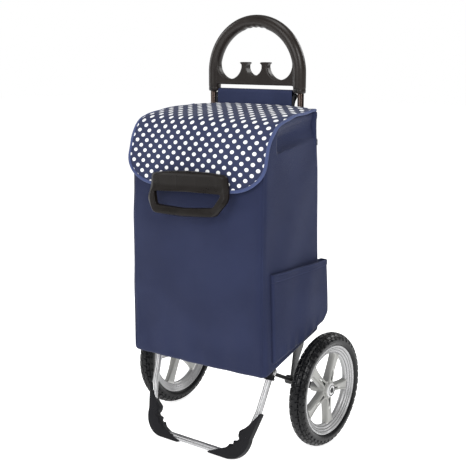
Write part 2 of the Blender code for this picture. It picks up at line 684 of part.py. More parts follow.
def ray_outline(right_half, centre, reach, steps):
    """A mirrored outline sampled along rays from its middle, so two outlines match up."""
    corners = list(right_half) + [(-x, z) for x, z in reversed(right_half) if x]
    points = []
    for i in range(steps):
        a = 2 * math.pi * i / steps
        way = Vector((math.cos(a) * reach[0], math.sin(a) * reach[1]))
        for (ax, az), (bx, bz) in zip(corners, corners[1:] + corners[:1]):
            start, edge = Vector((ax, az - centre)), Vector((bx - ax, bz - az))
            cross = way.x * edge.y - way.y * edge.x
            if abs(cross) < 1e-12:
                continue
            along = (start.x * edge.y - start.y * edge.x) / cross
            share = (start.x * way.y - start.y * way.x) / cross
            if along > 0 and -1e-9 <= share <= 1 + 1e-9:
                points.append((way.x * along, centre + way.y * along))
                break
    return points


def make_grab_handle(lid):
    """A rigid moulded plate with a grip below it and a finger opening between them."""

    def forward(x, z):
        drop = smooth_step((0.672 - z) / 0.070)
        return -0.1690 - 0.0195 * drop - 0.0050 * (1 - (x / 0.125) ** 2)

    steps = 56
    outer = ray_outline(GRAB_OUTER, 0.640, (0.110, 0.045), steps)
    inner = ray_outline(GRAB_INNER, 0.640, (0.110, 0.045), steps)
    rings = []
    for points, depth in ((outer, 0.0), (outer, 0.0105), (inner, 0.0105), (inner, 0.0)):
        rings.append([(u, forward(x, z) - depth, v)
                      for x, z in points for u, v in [askew(x, z)]])
    return build("grab_handle", skinned(rings, True), "black_plastic", lid)


# ---------------------------------------------------------------- assembly


foot_hinge = make_empty("foot_hinge_axis", PIVOT)
lid_hinge = make_empty("lid_hinge_axis", LID_HINGE)
for side_name, sign in (("left", -1), ("right", 1)):
    wheel_centre = Vector((sign * WHEEL_X, AXLE_Y, WHEEL_R))
    wheel_axis = make_empty(f"wheel_axis_{side_name}", wheel_centre)
    button_axis = make_empty(f"button_axis_{side_name}", wheel_centre)
    make_wheel(side_name, sign, wheel_axis, button_axis)
    make_lower_side(side_name, sign)
    make_foot_shoe(side_name, sign, foot_hinge)
    make_foot_knuckle(side_name, sign, foot_hinge)
make_crossbars()
make_foot_loop(foot_hinge)
make_handle()
make_bag()
make_lid(lid_hinge)
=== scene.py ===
"""Looks of the folding shopping trolley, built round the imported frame."""

import math

import bmesh
import bpy
import numpy as np
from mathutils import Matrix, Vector


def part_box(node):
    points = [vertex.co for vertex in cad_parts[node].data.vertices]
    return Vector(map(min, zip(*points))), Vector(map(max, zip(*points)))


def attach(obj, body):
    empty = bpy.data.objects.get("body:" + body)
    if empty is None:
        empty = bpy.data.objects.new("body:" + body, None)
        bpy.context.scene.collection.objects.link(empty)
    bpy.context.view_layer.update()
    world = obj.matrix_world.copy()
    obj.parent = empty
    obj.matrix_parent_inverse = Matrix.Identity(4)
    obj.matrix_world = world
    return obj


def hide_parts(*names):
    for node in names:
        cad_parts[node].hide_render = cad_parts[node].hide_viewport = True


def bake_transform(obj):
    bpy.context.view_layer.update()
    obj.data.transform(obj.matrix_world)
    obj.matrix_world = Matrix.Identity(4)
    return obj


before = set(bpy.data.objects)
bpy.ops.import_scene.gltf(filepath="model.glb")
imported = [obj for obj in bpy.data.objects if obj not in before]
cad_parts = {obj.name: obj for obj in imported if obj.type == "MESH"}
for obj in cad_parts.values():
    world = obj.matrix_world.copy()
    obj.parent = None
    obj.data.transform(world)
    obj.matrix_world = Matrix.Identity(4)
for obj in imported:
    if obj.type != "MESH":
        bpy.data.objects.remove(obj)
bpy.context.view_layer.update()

SIDES = (("left", -1), ("right", 1))
TAU = 2 * math.pi


# ---- camera, light and floor


def placed(name, data):
    """A new object in the scene."""
    thing = bpy.data.objects.new(name, data)
    bpy.context.scene.collection.objects.link(thing)
    return thing


def make_camera():
    data = bpy.data.cameras.new("camera")
    data.lens, data.sensor_width = 70.69, 36.0
    camera = placed("camera", data)
    camera.location = (1.395, -1.821, 0.983)
    camera.rotation_euler = (math.radians(78.73), 0.0, math.radians(37.48))
    bpy.context.scene.camera = camera


def make_light(name, place, aim_z, size, power):
    """A white area light that looks at a point this high above the origin."""
    data = bpy.data.lights.new(name, "AREA")
    data.shape = "RECTANGLE"
    data.size, data.size_y = size
    data.energy = power
    light = placed(name, data)
    light.location = place
    aim = Vector((0, 0, aim_z)) - Vector(place)
    light.rotation_euler = aim.to_track_quat("-Z", "Y").to_euler()


def make_studio():
    scene = bpy.context.scene
    scene.view_settings.view_transform = "Standard"
    world = bpy.data.worlds.new("studio")
    scene.world = world
    world.use_nodes = True
    tree = world.node_tree
    background = tree.nodes["Background"]
    background.inputs["Color"].default_value = (1.0, 1.0, 1.0, 1.0)
    seen = tree.nodes.new("ShaderNodeLightPath")
    level = tree.nodes.new("ShaderNodeMapRange")
    level.inputs["To Min"].default_value = 0.30
    level.inputs["To Max"].default_value = 1.0
    tree.links.new(seen.outputs["Is Camera Ray"], level.inputs["Value"])
    tree.links.new(level.outputs[0], background.inputs["Strength"])
    for name, place, aim_z, size, power in (("key", (2.6, -1.6, 2.2), 0.5, (0.9, 1.8), 52),
                                            ("front", (-0.4, -3.2, 1.9), 0.5, (2.0, 1.6), 46),
                                            ("side", (-3.0, -0.6, 1.6), 0.5, (1.2, 2.0), 26),
                                            ("back", (0.8, 3.0, 2.2), 0.6, (2.0, 1.2), 40),
                                            ("top", (0.2, -0.3, 3.6), 0.5, (1.6, 1.6), 30)):
        make_light(name, place, aim_z, size, power)
    mesh = bpy.data.meshes.new("floor")
    reach = 14.0
    corners = [(x * reach, y * reach, 0.0) for x, y in ((-1, -1), (1, -1), (1, 1), (-1, 1))]
    mesh.from_pydata(corners, [], [(0, 1, 2, 3)])
    look = Look("floor", 0.9, Base_Color=(0.90, 0.90, 0.90, 1), Specular_IOR_Level=0.0,
                Emission_Color=(1, 1, 1, 1), Emission_Strength=0.78)
    mesh.materials.append(look.material)
    floor = placed("floor", mesh)


# ---- materials


class Look:
    """A material's node tree with short ways to add and join nodes."""

    def __init__(self, name, roughness=0.5, metallic=0.0, **sockets):
        self.material = bpy.data.materials.new(name)
        self.material.use_nodes = True
        self.tree = self.material.node_tree
        self.shader = self.tree.nodes["Principled BSDF"]
        self.set(self.shader, Roughness=roughness, Metallic=metallic, **sockets)

    def plug(self, socket, value):
        if isinstance(value, bpy.types.NodeSocket):
            self.tree.links.new(value, socket)
        else:
            socket.default_value = value

    def set(self, node, **sockets):
        for name, value in sockets.items():
            self.plug(node.inputs[name.replace("_", " ")], value)

    def add(self, kind, properties=None, **sockets):
        node = self.tree.nodes.new(f"ShaderNode{kind}")
        for name, value in (properties or {}).items():
            setattr(node, name, value)
        self.set(node, **sockets)
        return node

    def math(self, operation, a, b=0.0, c=0.0):
        node = self.add("Math", {"operation": operation})
        for socket, value in zip(node.inputs, (a, b, c)):
            self.plug(socket, value)
        return node.outputs[0]

    def add_up(self, a, b):
        return self.math("ADD", a, b)

    def times(self, a, b):
        return self.math("MULTIPLY", a, b)

    def wave(self, axis, length):
        """A sine along the piece's own cloth coordinates, in metres: 0 is across, 1 along."""
        parts = self.add("SeparateXYZ", Vector=self.cloth())
        return self.math("SINE", self.times(parts.outputs[axis], TAU / length))

    def cloth(self):
        """The piece's own UV map, in metres."""
        return self.add("UVMap").outputs["UV"]

    def noise(self, scale, detail, stretch=None):
        vector = self.add("TexCoord").outputs["Object"]
        if stretch:
            vector = self.add("Mapping", Vector=vector, Scale=stretch).outputs[0]
        return self.add("TexNoise", Vector=vector, Scale=scale, Detail=detail).outputs["Fac"]

    def ramp(self, value, low, high, low_out=0.0, high_out=1.0):
        node = self.add("MapRange", {"interpolation_type": "SMOOTHSTEP"}, Value=value)
        self.set(node, From_Min=low, From_Max=high, To_Min=low_out, To_Max=high_out)
        return node.outputs[0]

    def mix(self, factor, a, b):
        """Blend two colours, each a socket or red, green and blue."""
        node = self.add("Mix", {"data_type": "RGBA"})
        for index, value in ((0, factor), (6, a), (7, b)):
            self.plug(node.inputs[index], (*value, 1.0) if isinstance(value, tuple) else value)
        return node.outputs[2]

    def finish(self, colour, roughness, height=None, strength=0.3, distance=0.0005):
        self.set(self.shader, Base_Color=colour, Roughness=roughness)
        if height is not None:
            bump = self.add("Bump", Height=height, Strength=strength, Distance=distance)
            self.set(self.shader, Normal=bump.outputs[0])
        return self.material


def fabric(name, dark, light, pitch=0.0011, roughness=0.78, dots=False):
    """Plainly woven cloth: its weave is two sets of threads, over and under."""
    look = Look(name, Sheen_Weight=0.08, Sheen_Roughness=0.4, Specular_IOR_Level=0.15)
    broad = look.noise(7.0, 3.0)
    fine = look.noise(900.0, 1.0)
    weave = look.times(look.wave(0, pitch), look.wave(1, pitch))
    tone = look.add_up(look.times(look.ramp(broad, 0.35, 0.65), 0.55),
                       look.times(look.add_up(fine, weave), 0.22))
    colour = look.mix(tone, dark, light)
    if dots:
        dot = dot_pattern(look)
        colour = look.mix(dot, colour, (0.86, 0.87, 0.88))
    rough = look.ramp(fine, 0.3, 0.7, roughness - 0.08, roughness + 0.06)
    height = look.add_up(weave, look.times(fine, 0.8))
    return look.finish(colour, rough, height, 0.35, 0.00025)


DOT_PITCH = 0.0212  # distance between the rows of dots, which run at 45 degrees
DOT_R = 0.0055
PLAIN_FACE = 1.0  # how far the cloth's unprinted face lies from the printed one in its UV map


def dot_pattern(look):
    """White round dots on a square lattice turned by 45 degrees, on the printed face only."""
    uv = look.cloth()
    across = look.add("SeparateXYZ", Vector=uv).outputs[0]
    printed = look.math("LESS_THAN", across, PLAIN_FACE / 2)
    tilted = look.add("Mapping", Vector=uv, Rotation=(0, 0, math.radians(45)),
                      Scale=(0.94 / DOT_PITCH, 1.20 / DOT_PITCH, 1))
    parts = look.add("SeparateXYZ", Vector=tilted.outputs[0])
    cells = [look.math("SUBTRACT", look.math("FRACT", parts.outputs[i]), 0.5) for i in (0, 1)]
    away = look.math("SQRT", look.add_up(*(look.times(cell, cell) for cell in cells)))
    edge, blur = DOT_R / DOT_PITCH, 0.015
    return look.times(printed, look.ramp(away, edge - blur, edge + blur, 1.0, 0.0))


def plastic(name, colour, highlight_and_mottle, roughness=0.42, grain=1400.0, depth=0.35, mottle=0.5,
            **sockets):
    look = Look(name, **{"Specular_IOR_Level": 0.4, **sockets})
    broad = look.noise(22.0, 3.0)
    fine = look.noise(grain, 2.0)
    # Convex edges, found by pointiness, blend towards the second colour as a painted highlight; the
    # rest of the blend is random mottle.
    edge = look.add("NewGeometry").outputs["Pointiness"]
    edge_highlight = look.ramp(edge, 0.54, 0.62)
    tone = look.add_up(look.times(broad, mottle), look.times(edge_highlight, 1 - mottle))
    rough = look.ramp(look.add_up(look.times(fine, 0.5), look.times(broad, 0.5)),
                      0.3, 0.7, roughness - 0.07, roughness + 0.08)
    return look.finish(look.mix(tone, colour, highlight_and_mottle), rough, fine, depth, 0.0002)


def metal(name, colour, dull, roughness=0.28, stretch=(60, 60, 4), depth=0.15, metallic=1.0):
    """Drawn or plated metal, its fine draw lines running along the least stretched axis."""
    look = Look(name, metallic=metallic)
    lines = look.noise(26.0, 3.0, stretch=stretch)
    broad = look.noise(14.0, 3.0)
    tone = look.times(look.add_up(lines, broad), 0.5)
    rough = look.ramp(lines, 0.3, 0.7, roughness - 0.07, roughness + 0.09)
    return look.finish(look.mix(tone, dull, colour), rough, lines, depth, 0.0001)


def ribbed_metal(name):
    """An extruded tube with fine ribs running along it, spaced in its own metres; the troughs
    between the ribs are painted dark as painted shade.
    """
    look = Look(name, metallic=1.0)
    ribs = look.wave(0, 0.0028)
    broad = look.noise(9.0, 2.0)
    # the rib troughs blend towards near black: painted shade in the troughs; the broad noise is
    # random tone
    lines = look.ramp(ribs, -0.60, 0.30)
    tone = look.times(lines, look.ramp(broad, 0.3, 0.7, 0.8, 1.0))
    colour = look.mix(tone, (0.10, 0.10, 0.105), (0.76, 0.76, 0.77))
    rough = look.ramp(broad, 0.3, 0.7, 0.24, 0.34)
    return look.finish(colour, rough, ribs, 0.3, 0.0002)


def rubber(name):
    look = Look(name, Specular_IOR_Level=0.24)
    dust = look.ramp(look.noise(30.0, 4.0), 0.45, 0.75)
    fine = look.noise(700.0, 3.0)
    colour = look.mix(look.times(dust, 0.55), (0.0012, 0.0013, 0.002),
                      (0.006, 0.0065, 0.0085))
    return look.finish(colour, look.ramp(fine, 0.3, 0.7, 0.24, 0.36), fine, 0.25, 0.0003)


def webbing(name):
    look = Look(name, Specular_IOR_Level=0.2)
    ribs = look.wave(1, 0.0022)
    fine = look.noise(1200.0, 2.0)
    height = look.add_up(ribs, fine)
    colour = look.mix(fine, (0.008, 0.008, 0.010), (0.026, 0.026, 0.030))
    return look.finish(colour, look.ramp(fine, 0.3, 0.7, 0.68, 0.85), height, 0.5, 0.0004)


MATERIALS = {
    "navy": fabric("navy_fabric", (0.0145, 0.0192, 0.051), (0.0212, 0.0280, 0.070)),
    # a brighter copy of the navy cloth for the back panel: painted light that lifts the panel the
    # lamps leave darker
    "navy_panel_painted_light": fabric("navy_panel_painted_light", (0.022, 0.029, 0.072), (0.032, 0.042, 0.098)),
    "navy_dots": fabric("dotted_fabric", (0.022, 0.028, 0.066), (0.032, 0.041, 0.092),
                        dots=True),
    "binding": fabric("binding_tape", (0.045, 0.062, 0.150), (0.066, 0.088, 0.195), 0.0009, 0.62),
    "thread": fabric("thread", (0.050, 0.062, 0.150), (0.090, 0.105, 0.210), 0.0006, 0.6),
    "handle": plastic("handle_plastic", (0.010, 0.0072, 0.006), (0.024, 0.018, 0.0145), 0.33,
                      depth=0.06, Specular_IOR_Level=0.30),
    "grained": plastic("grained_plastic", (0.0040, 0.0029, 0.0023), (0.016, 0.0122, 0.0102), 0.32,
                       420.0, 0.8, Specular_IOR_Level=0.21),
    "black_plastic": plastic("black_plastic", (0.006, 0.006, 0.007), (0.016, 0.016, 0.018), 0.46,
                             Specular_IOR_Level=0.22),
    # rim, spokes and cap: their second colour is reached mostly on edges, as painted highlight
    "rim": plastic("rim_plastic", (0.38, 0.38, 0.385), (0.88, 0.88, 0.88), 0.30, 500.0, 0.1,
                   0.08, metallic=0.35),
    "spoke": plastic("spoke_plastic", (0.30, 0.30, 0.285), (0.94, 0.94, 0.92), 0.34, 500.0, 0.1,
                     0.08, metallic=0.25),
    # groove: dark grey for thin rings in the rim's steps, painted shade in the step recesses
    "groove": plastic("rim_step_shade", (0.07, 0.07, 0.07), (0.14, 0.14, 0.14), 0.5),
    "cap": plastic("cap_plastic", (0.62, 0.62, 0.62), (0.80, 0.80, 0.80), 0.22, 500.0, 0.05),
    "aluminium": metal("aluminium", (0.80, 0.80, 0.81), (0.62, 0.62, 0.64), 0.26),
    "loop": ribbed_metal("loop_aluminium"),
    "shoe": plastic("shoe_plastic", (0.003, 0.003, 0.0045), (0.009, 0.009, 0.012), 0.50, 700.0,
                    0.8, Specular_IOR_Level=0.18),
    "cross_aluminium": metal("cross_aluminium", (0.80, 0.80, 0.81), (0.62, 0.62, 0.64), 0.26,
                             (4, 60, 60)),
    "bronze": metal("bronze_tube", (0.068, 0.050, 0.043), (0.040, 0.029, 0.025), 0.28),
    "steel": metal("bright_steel", (0.82, 0.82, 0.82), (0.60, 0.60, 0.60), 0.20, (20, 20, 20)),
    "black_steel": metal("black_steel", (0.010, 0.010, 0.011), (0.004, 0.004, 0.0045), 0.36,
                         (30, 30, 30), 0.3, 0.2),
    "tyre": rubber("tyre_rubber"),
    "webbing": webbing("webbing"),
    "board": plastic("stiffener_board", (0.03, 0.03, 0.033), (0.06, 0.06, 0.06), 0.7),
}


# ---- shape helpers


def arc(centre, radius, start, end, steps):
    """Points on an arc in a plane; angles in degrees, radius a number or a pair."""
    wide, high = radius if isinstance(radius, tuple) else (radius, radius)
    a = np.radians(np.linspace(start, end, steps + 1))
    return np.stack([centre[0] + wide * np.cos(a), centre[1] + high * np.sin(a)], -1)


def rounded(points, radius, steps=3, closed=True):
    """Round each corner of a polyline with a short curve."""
    points = [np.array(point, float) for point in points]
    out = []
    for i, point in enumerate(points):
        if not closed and i in (0, len(points) - 1):
            out.append(point)
            continue
        ends = []
        for other in (points[i - 1], points[(i + 1) % len(points)]):
            away = other - point
            share = min(0.47, radius / max(np.linalg.norm(away), 1e-9))
            ends.append(point + away * share)
        for k in range(steps + 1):
            t = k / steps
            out.append((1 - t) ** 2 * ends[0] + 2 * t * (1 - t) * point + t * t * ends[1])
    return np.array(out)


def heading(path):
    """Unit vectors along a path."""
    way = np.gradient(path, axis=0)
    return way / np.linalg.norm(way, axis=1)[:, None]


def outward(path):
    """Unit vectors to the right of a flat path."""
    way = heading(path)
    return np.stack([way[:, 1], -way[:, 0]], -1)


def distances(points):
    """How far along a polyline each of its points is."""
    return np.concatenate([[0], np.cumsum(np.linalg.norm(np.diff(points, axis=0), axis=1))])


def values_at(wanted, reach, rows):
    """Rows of numbers read off at these distances, where reach is each row's own distance."""
    return np.stack([np.interp(wanted, reach, column) for column in rows.T], -1)


def evened(points, count, closed=False):
    """The same polyline as count points at even distances."""
    points = np.asarray(points, float)
    if closed:
        points = np.vstack([points, points[:1]])
    reach = distances(points)
    wanted = np.linspace(0, reach[-1], count + 1 if closed else count)
    if closed:
        wanted = wanted[:-1]
    return values_at(wanted, reach, points)


def eased(values, passes=2):
    """A row of points smoothed along its length, its two ends kept."""
    values = np.array(values, float)
    for _ in range(passes):
        values[1:-1] = (values[:-2] + 2 * values[1:-1] + values[2:]) / 4
    return values


def quarter(steps):
    """Up and inward along a quarter-round edge, as shares of its radius."""
    return [(1 - math.cos(a), 1 - math.sin(a)) for a in np.linspace(0, math.pi / 2, steps)]


def there_and_back(columns):
    """Places across a strip of cloth, from -1 to 1: over its face and back under it."""
    return np.concatenate([np.linspace(-1, 1, columns), np.linspace(1, -1, columns)])


def band(low, high, bore, radius, ease, steps=3, closed=True):
    """Profile of a ring, or of a rod whose bore is almost nothing, its corners rounded."""
    corners = [(low, bore), (low, radius), (high, radius), (high, bore)]
    return rounded(corners, ease, steps, closed)


def rectangle(wide, high, ease, steps):
    """A rounded rectangle about the origin, given its half width and half height."""
    return rounded([(-wide, -high), (wide, -high), (wide, high), (-wide, high)], ease, steps)


def smooth_step(low, high, value):
    """A share that eases from 0 at low to 1 at high."""
    t = np.clip((value - low) / (high - low), 0, 1)
    return t * t * (3 - 2 * t)


def turned(profile, centre, segments=48, axis="x"):
    """Rings of a profile of (along, radius) points turned about an axis through centre."""
    profile, k = np.asarray(profile, float), "xyz".index(axis)
    a = np.linspace(0, TAU, segments, endpoint=False)
    flat = np.delete(centre, k) + profile[:, 1:, None] * np.stack([np.cos(a), np.sin(a)], -1)
    return np.insert(flat, k, np.repeat(profile[:, :1], segments, 1), -1)


def mirrored(s, profile, middle=0.0):
    """A profile of (along, radius) points out from a middle, on side s."""
    return [(s * (middle + along), r) for along, r in profile]


def swept(path, section, up):
    """A section of (across, along up) points, or one per station, carried along a path."""
    path = np.asarray(path, float)
    way = heading(path)
    side = np.cross(way, np.asarray(up, float))
    side /= np.linalg.norm(side, axis=1)[:, None]
    lift = np.cross(side, way)
    section = np.asarray(section, float)
    if section.ndim == 2:
        section = np.repeat(section[None], len(path), 0)
    return (path[:, None] + section[..., :1] * side[:, None] + section[..., 1:] * lift[:, None])


def circle(radius, steps):
    return arc((0, 0), radius, 0, 360, steps)[:-1]


def slab(outline, low, high, axis="x", ease=0.0006, steps=3):
    """Rings of a flat outline extruded along an axis, its long edges rounded."""
    low, high = sorted((low, high))
    outline = np.asarray(outline, float)
    before, after = np.roll(outline, 1, 0), np.roll(outline, -1, 0)
    way = after - before
    way /= np.maximum(np.linalg.norm(way, axis=1), 1e-9)[:, None]
    area = np.sum(outline[:, 0] * after[:, 1] - after[:, 0] * outline[:, 1])
    inward = np.stack([-way[:, 1], way[:, 0]], -1) * (1 if area > 0 else -1)
    edge = quarter(steps + 1)
    ends = [(low + ease * inset, ease * up) for up, inset in edge[::-1]]
    ends += [(high - ease * inset, ease * up) for up, inset in edge]
    return np.array([np.insert(outline + inward * inset, "xyz".index(axis), along, 1)
                     for along, inset in ends])


class Shell:
    """Grids of quads gathered into one piece, with cloth coordinates in metres."""

    def __init__(self, weld=0.0):
        self.points, self.faces, self.uvs, self.count = [], [], [], 0
        self.weld = weld

    def grid(self, points, around=True, along=False, caps=True, uv=None):
        """Add rings of points, closed around each ring and, if along, from last to first."""
        points = np.asarray(points, float)
        n, m = points.shape[:2]
        i, j = np.meshgrid(np.arange(n if along else n - 1), np.arange(m if around else m - 1),
                           indexing="ij")
        i2, j2 = (i + 1) % n, (j + 1) % m
        quads = np.stack([i * m + j, i * m + j2, i2 * m + j2, i2 * m + j], -1)
        if uv is None:
            u = np.linalg.norm(np.roll(points, -1, 1) - points, axis=2)
            v = np.linalg.norm(np.roll(points, -1, 0) - points, axis=2)
            u = np.concatenate([np.zeros((n, 1)), np.cumsum(u, 1)], 1)
            v = np.concatenate([np.zeros((1, m)), np.cumsum(v, 0)], 0)
            v = np.concatenate([v, v[:, :1]], 1)
            u = np.concatenate([u, u[:1]], 0)
            uv = np.stack([u, v], -1)
            i2, j2 = i + 1, j + 1
        corners = np.stack([uv[i, j], uv[i, j2], uv[i2, j2], uv[i2, j]], 2)
        self.faces += (quads.reshape(-1, 4) + self.count).tolist()
        self.uvs.append(corners.reshape(-1, 2))
        if caps and not along and around:
            for row in (0, n - 1):
                self.faces.append([self.count + row * m + k for k in range(m)])
                flat = points[row] - points[row].mean(0)
                axes = np.linalg.svd(flat, full_matrices=False)[2][:2]
                self.uvs.append(flat @ axes.T)
        self.points.append(points.reshape(-1, 3))
        self.count += n * m
        return self

    def mesh(self, name):
        mesh = bpy.data.meshes.new(name)
        mesh.from_pydata(np.concatenate(self.points).tolist(), [], self.faces)
        layer = mesh.uv_layers.new(name="UVMap")
        layer.data.foreach_set("uv", np.concatenate(self.uvs).ravel())
        work = bmesh.new()
        work.from_mesh(mesh)
        if self.weld:
            bmesh.ops.remove_doubles(work, verts=work.verts, dist=self.weld)
        bmesh.ops.recalc_face_normals(work, faces=work.faces)
        work.to_mesh(mesh)
        work.free()
        return mesh

    def make(self, name, look, body, slot, node=None, sharp=35.0):
        mesh = self.mesh(name)
        mesh.materials.append(MATERIALS[look])
        mesh.shade_smooth()
        mesh.set_sharp_from_angle(angle=math.radians(sharp))
        piece = placed(name, mesh)
        if isinstance(body, tuple):
            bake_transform(piece)
        else:
            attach(piece, body)
        if node:
            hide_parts(node)
        return piece


def make_turned(name, look, body, slot, node, profile, centre, segments, hollow=False, axis="x"):
    """A turned piece, for a node or for none; a hollow one's profile closes on itself."""
    rings = turned(profile, centre, segments, axis)
    Shell().grid(rings, True, hollow).make(name, look, body, slot, node)


def fused(piece, voxel, passes):
    """Melt the piece's overlapping shells into one closed skin with softened joins."""
    remesh = piece.modifiers.new("fuse", "REMESH")
    remesh.mode, remesh.voxel_size, remesh.use_smooth_shade = "VOXEL", voxel, True
    soften = piece.modifiers.new("soften", "SMOOTH")
    soften.factor, soften.iterations = 0.5, passes
    bpy.context.view_layer.update()
    graph = bpy.context.evaluated_depsgraph_get()
    mesh = bpy.data.meshes.new_from_object(piece.evaluated_get(graph))
    piece.modifiers.clear()
    old, piece.data = piece.data, mesh
    mesh.name = old.name
    mesh.shade_smooth()
    bpy.data.meshes.remove(old)
    return piece


# ---- wheels

WHEEL_R = 0.145
WHEEL_X = 0.246
AXLE = np.array((0.0, 0.060, 0.145))
TYRE_HALF = 0.0216
TYRE_DEPTH = 0.0185
TYRE_WALL = 0.0045
TREAD_DEPTH = 0.0026
BLOCKS = 46  # tread blocks in one row
GROOVES = np.array((-62.0, -31.0, 0.0, 31.0, 62.0))  # degrees across the tyre's section


def tyre_rings():
    """The tyre's closed section round the wheel, its tread cut into staggered blocks."""
    segments = 12 * BLOCKS
    angles = np.radians(np.linspace(-128, 128, 46))
    around = np.linspace(0, TAU, segments, endpoint=False)
    lateral, turn = np.meshgrid(angles, around)
    place = lateral / math.radians(1)
    off = np.abs(place)  # degrees off the tread's middle
    cut = np.zeros_like(place)
    for groove in GROOVES:
        cut = np.maximum(cut, 1 - smooth_step(2.6, 5.0, np.abs(place - groove)))
    row = np.searchsorted(GROOVES, place.ravel()).reshape(place.shape)
    share = (turn / TAU * BLOCKS + 0.5 * (row % 2) + 0.007 * place) % 1.0
    gap = 1 - smooth_step(0.07, 0.15, np.minimum(share, 1 - share))
    cut = np.maximum(cut, gap * (off < GROOVES[-1]))
    shoulder = (off > GROOVES[-1]) & (off < 84)
    lug = (turn / TAU * BLOCKS + 0.25) % 1.0
    cut = np.maximum(cut, shoulder * (1 - smooth_step(0.16, 0.24, np.minimum(lug, 1 - lug))))
    depth = TREAD_DEPTH * cut * (1 - smooth_step(80, 90, off))
    ridge = 0.0002 * (np.cos((off - 100) * 0.5) > 0.75) * (off > 92)
    wide = TYRE_HALF - depth + ridge
    high = TYRE_DEPTH - depth
    middle = WHEEL_R - TYRE_DEPTH
    across = wide * np.sin(lateral)
    radius = middle + high * np.cos(lateral)
    inner = np.radians(np.linspace(128, -128, 12))
    across_in = np.repeat((TYRE_HALF - TYRE_WALL) * np.sin(inner)[None], segments, 0)
    radius_in = np.repeat(middle + (TYRE_DEPTH - TYRE_WALL) * np.cos(inner)[None], segments, 0)
    across = np.concatenate([across, across_in], 1)
    radius = np.concatenate([radius, radius_in], 1)
    turn = turn[:, :1]
    return np.stack([across, AXLE[1] + radius * np.cos(turn), AXLE[2] + radius * np.sin(turn)], -1)


RIM_SIDE = [
    (0.0165, 0.1140), (0.0173, 0.1128), (0.0173, 0.1108), (0.0160, 0.1094), (0.0142, 0.1088),
    (0.0138, 0.1066), (0.0128, 0.1050), (0.0118, 0.1044), (0.0112, 0.1016), (0.0098, 0.0996),
    (0.0086, 0.0990), (0.0078, 0.0962), (0.0060, 0.0934), (0.0042, 0.0918), (0.0020, 0.0908),
]
RIM_PROFILE = RIM_SIDE + [(-u, r) for u, r in RIM_SIDE[::-1]] + [
    (-0.0125, 0.1140), (-0.0095, 0.1106), (-0.0030, 0.1010), (0.0030, 0.1010), (0.0095, 0.1106),
    (0.0125, 0.1140)]
SPOKE_TURN = {-1: 29.0, 1: 63.0}  # degrees each wheel has rolled


def spoke_ways(s, spoke):
    """Unit vectors along a spoke and square to it; half numbers lie between two spokes."""
    a = math.radians(SPOKE_TURN[s] + 72 * spoke)
    return np.array((0, math.cos(a), math.sin(a))), np.array((0, -math.sin(a), math.cos(a)))


def spoke_rings(s, i):
    """One flared spoke: a deep section whose edges spread into its neighbours at the hub."""
    along, square = spoke_ways(s, i)
    rings = []
    for r, wide in ((0.012, 0.0092), (0.018, 0.0098), (0.024, 0.0092), (0.031, 0.0088),
                    (0.040, 0.0090), (0.055, 0.0097), (0.068, 0.0105), (0.078, 0.0114),
                    (0.086, 0.0128), (0.0925, 0.0150)):
        low = -0.0100 + 0.022 * r
        high = 0.0128 - 0.0042 * smooth_step(0.015, 0.06, r)
        flank = wide * 0.80
        # straight flanks, then a bevelled shoulder, a thin raised edge and a sunk face
        right = [(wide, low), (wide, high - 0.0046), (flank, high),
                 (flank - 0.0018, high + 0.0002), (flank - 0.0030, high - 0.0018)]
        section = rounded([(-wide, low)] + right + [(-u, v) for u, v in right[:0:-1]],
                          0.0007, 2)
        rings.append([AXLE + along * r + square * u + np.array((s * (WHEEL_X + v), 0, 0))
                      for u, v in section])
    return np.array(rings)


def web_rings(s, i):
    """The curved web between two spokes at the hub."""
    along, square = spoke_ways(s, i + 0.5)
    outline = [(0.006, -0.012)]
    outline += [(0.022 + 0.024 * (abs(t) ** 1.7), 0.0262 * t * (1 + 0.25 * abs(t)))
                for t in np.linspace(-1, 1, 13)]
    outline += [(0.006, 0.012)]
    rings = []
    for v, shrink in ((-0.0090, 0.92), (-0.0080, 1.0), (0.0090, 1.0), (0.0105, 0.94)):
        rings.append([AXLE + along * r * shrink + square * u * shrink
                      + np.array((s * (WHEEL_X + v), 0, 0)) for r, u in outline])
    return np.array(rings)


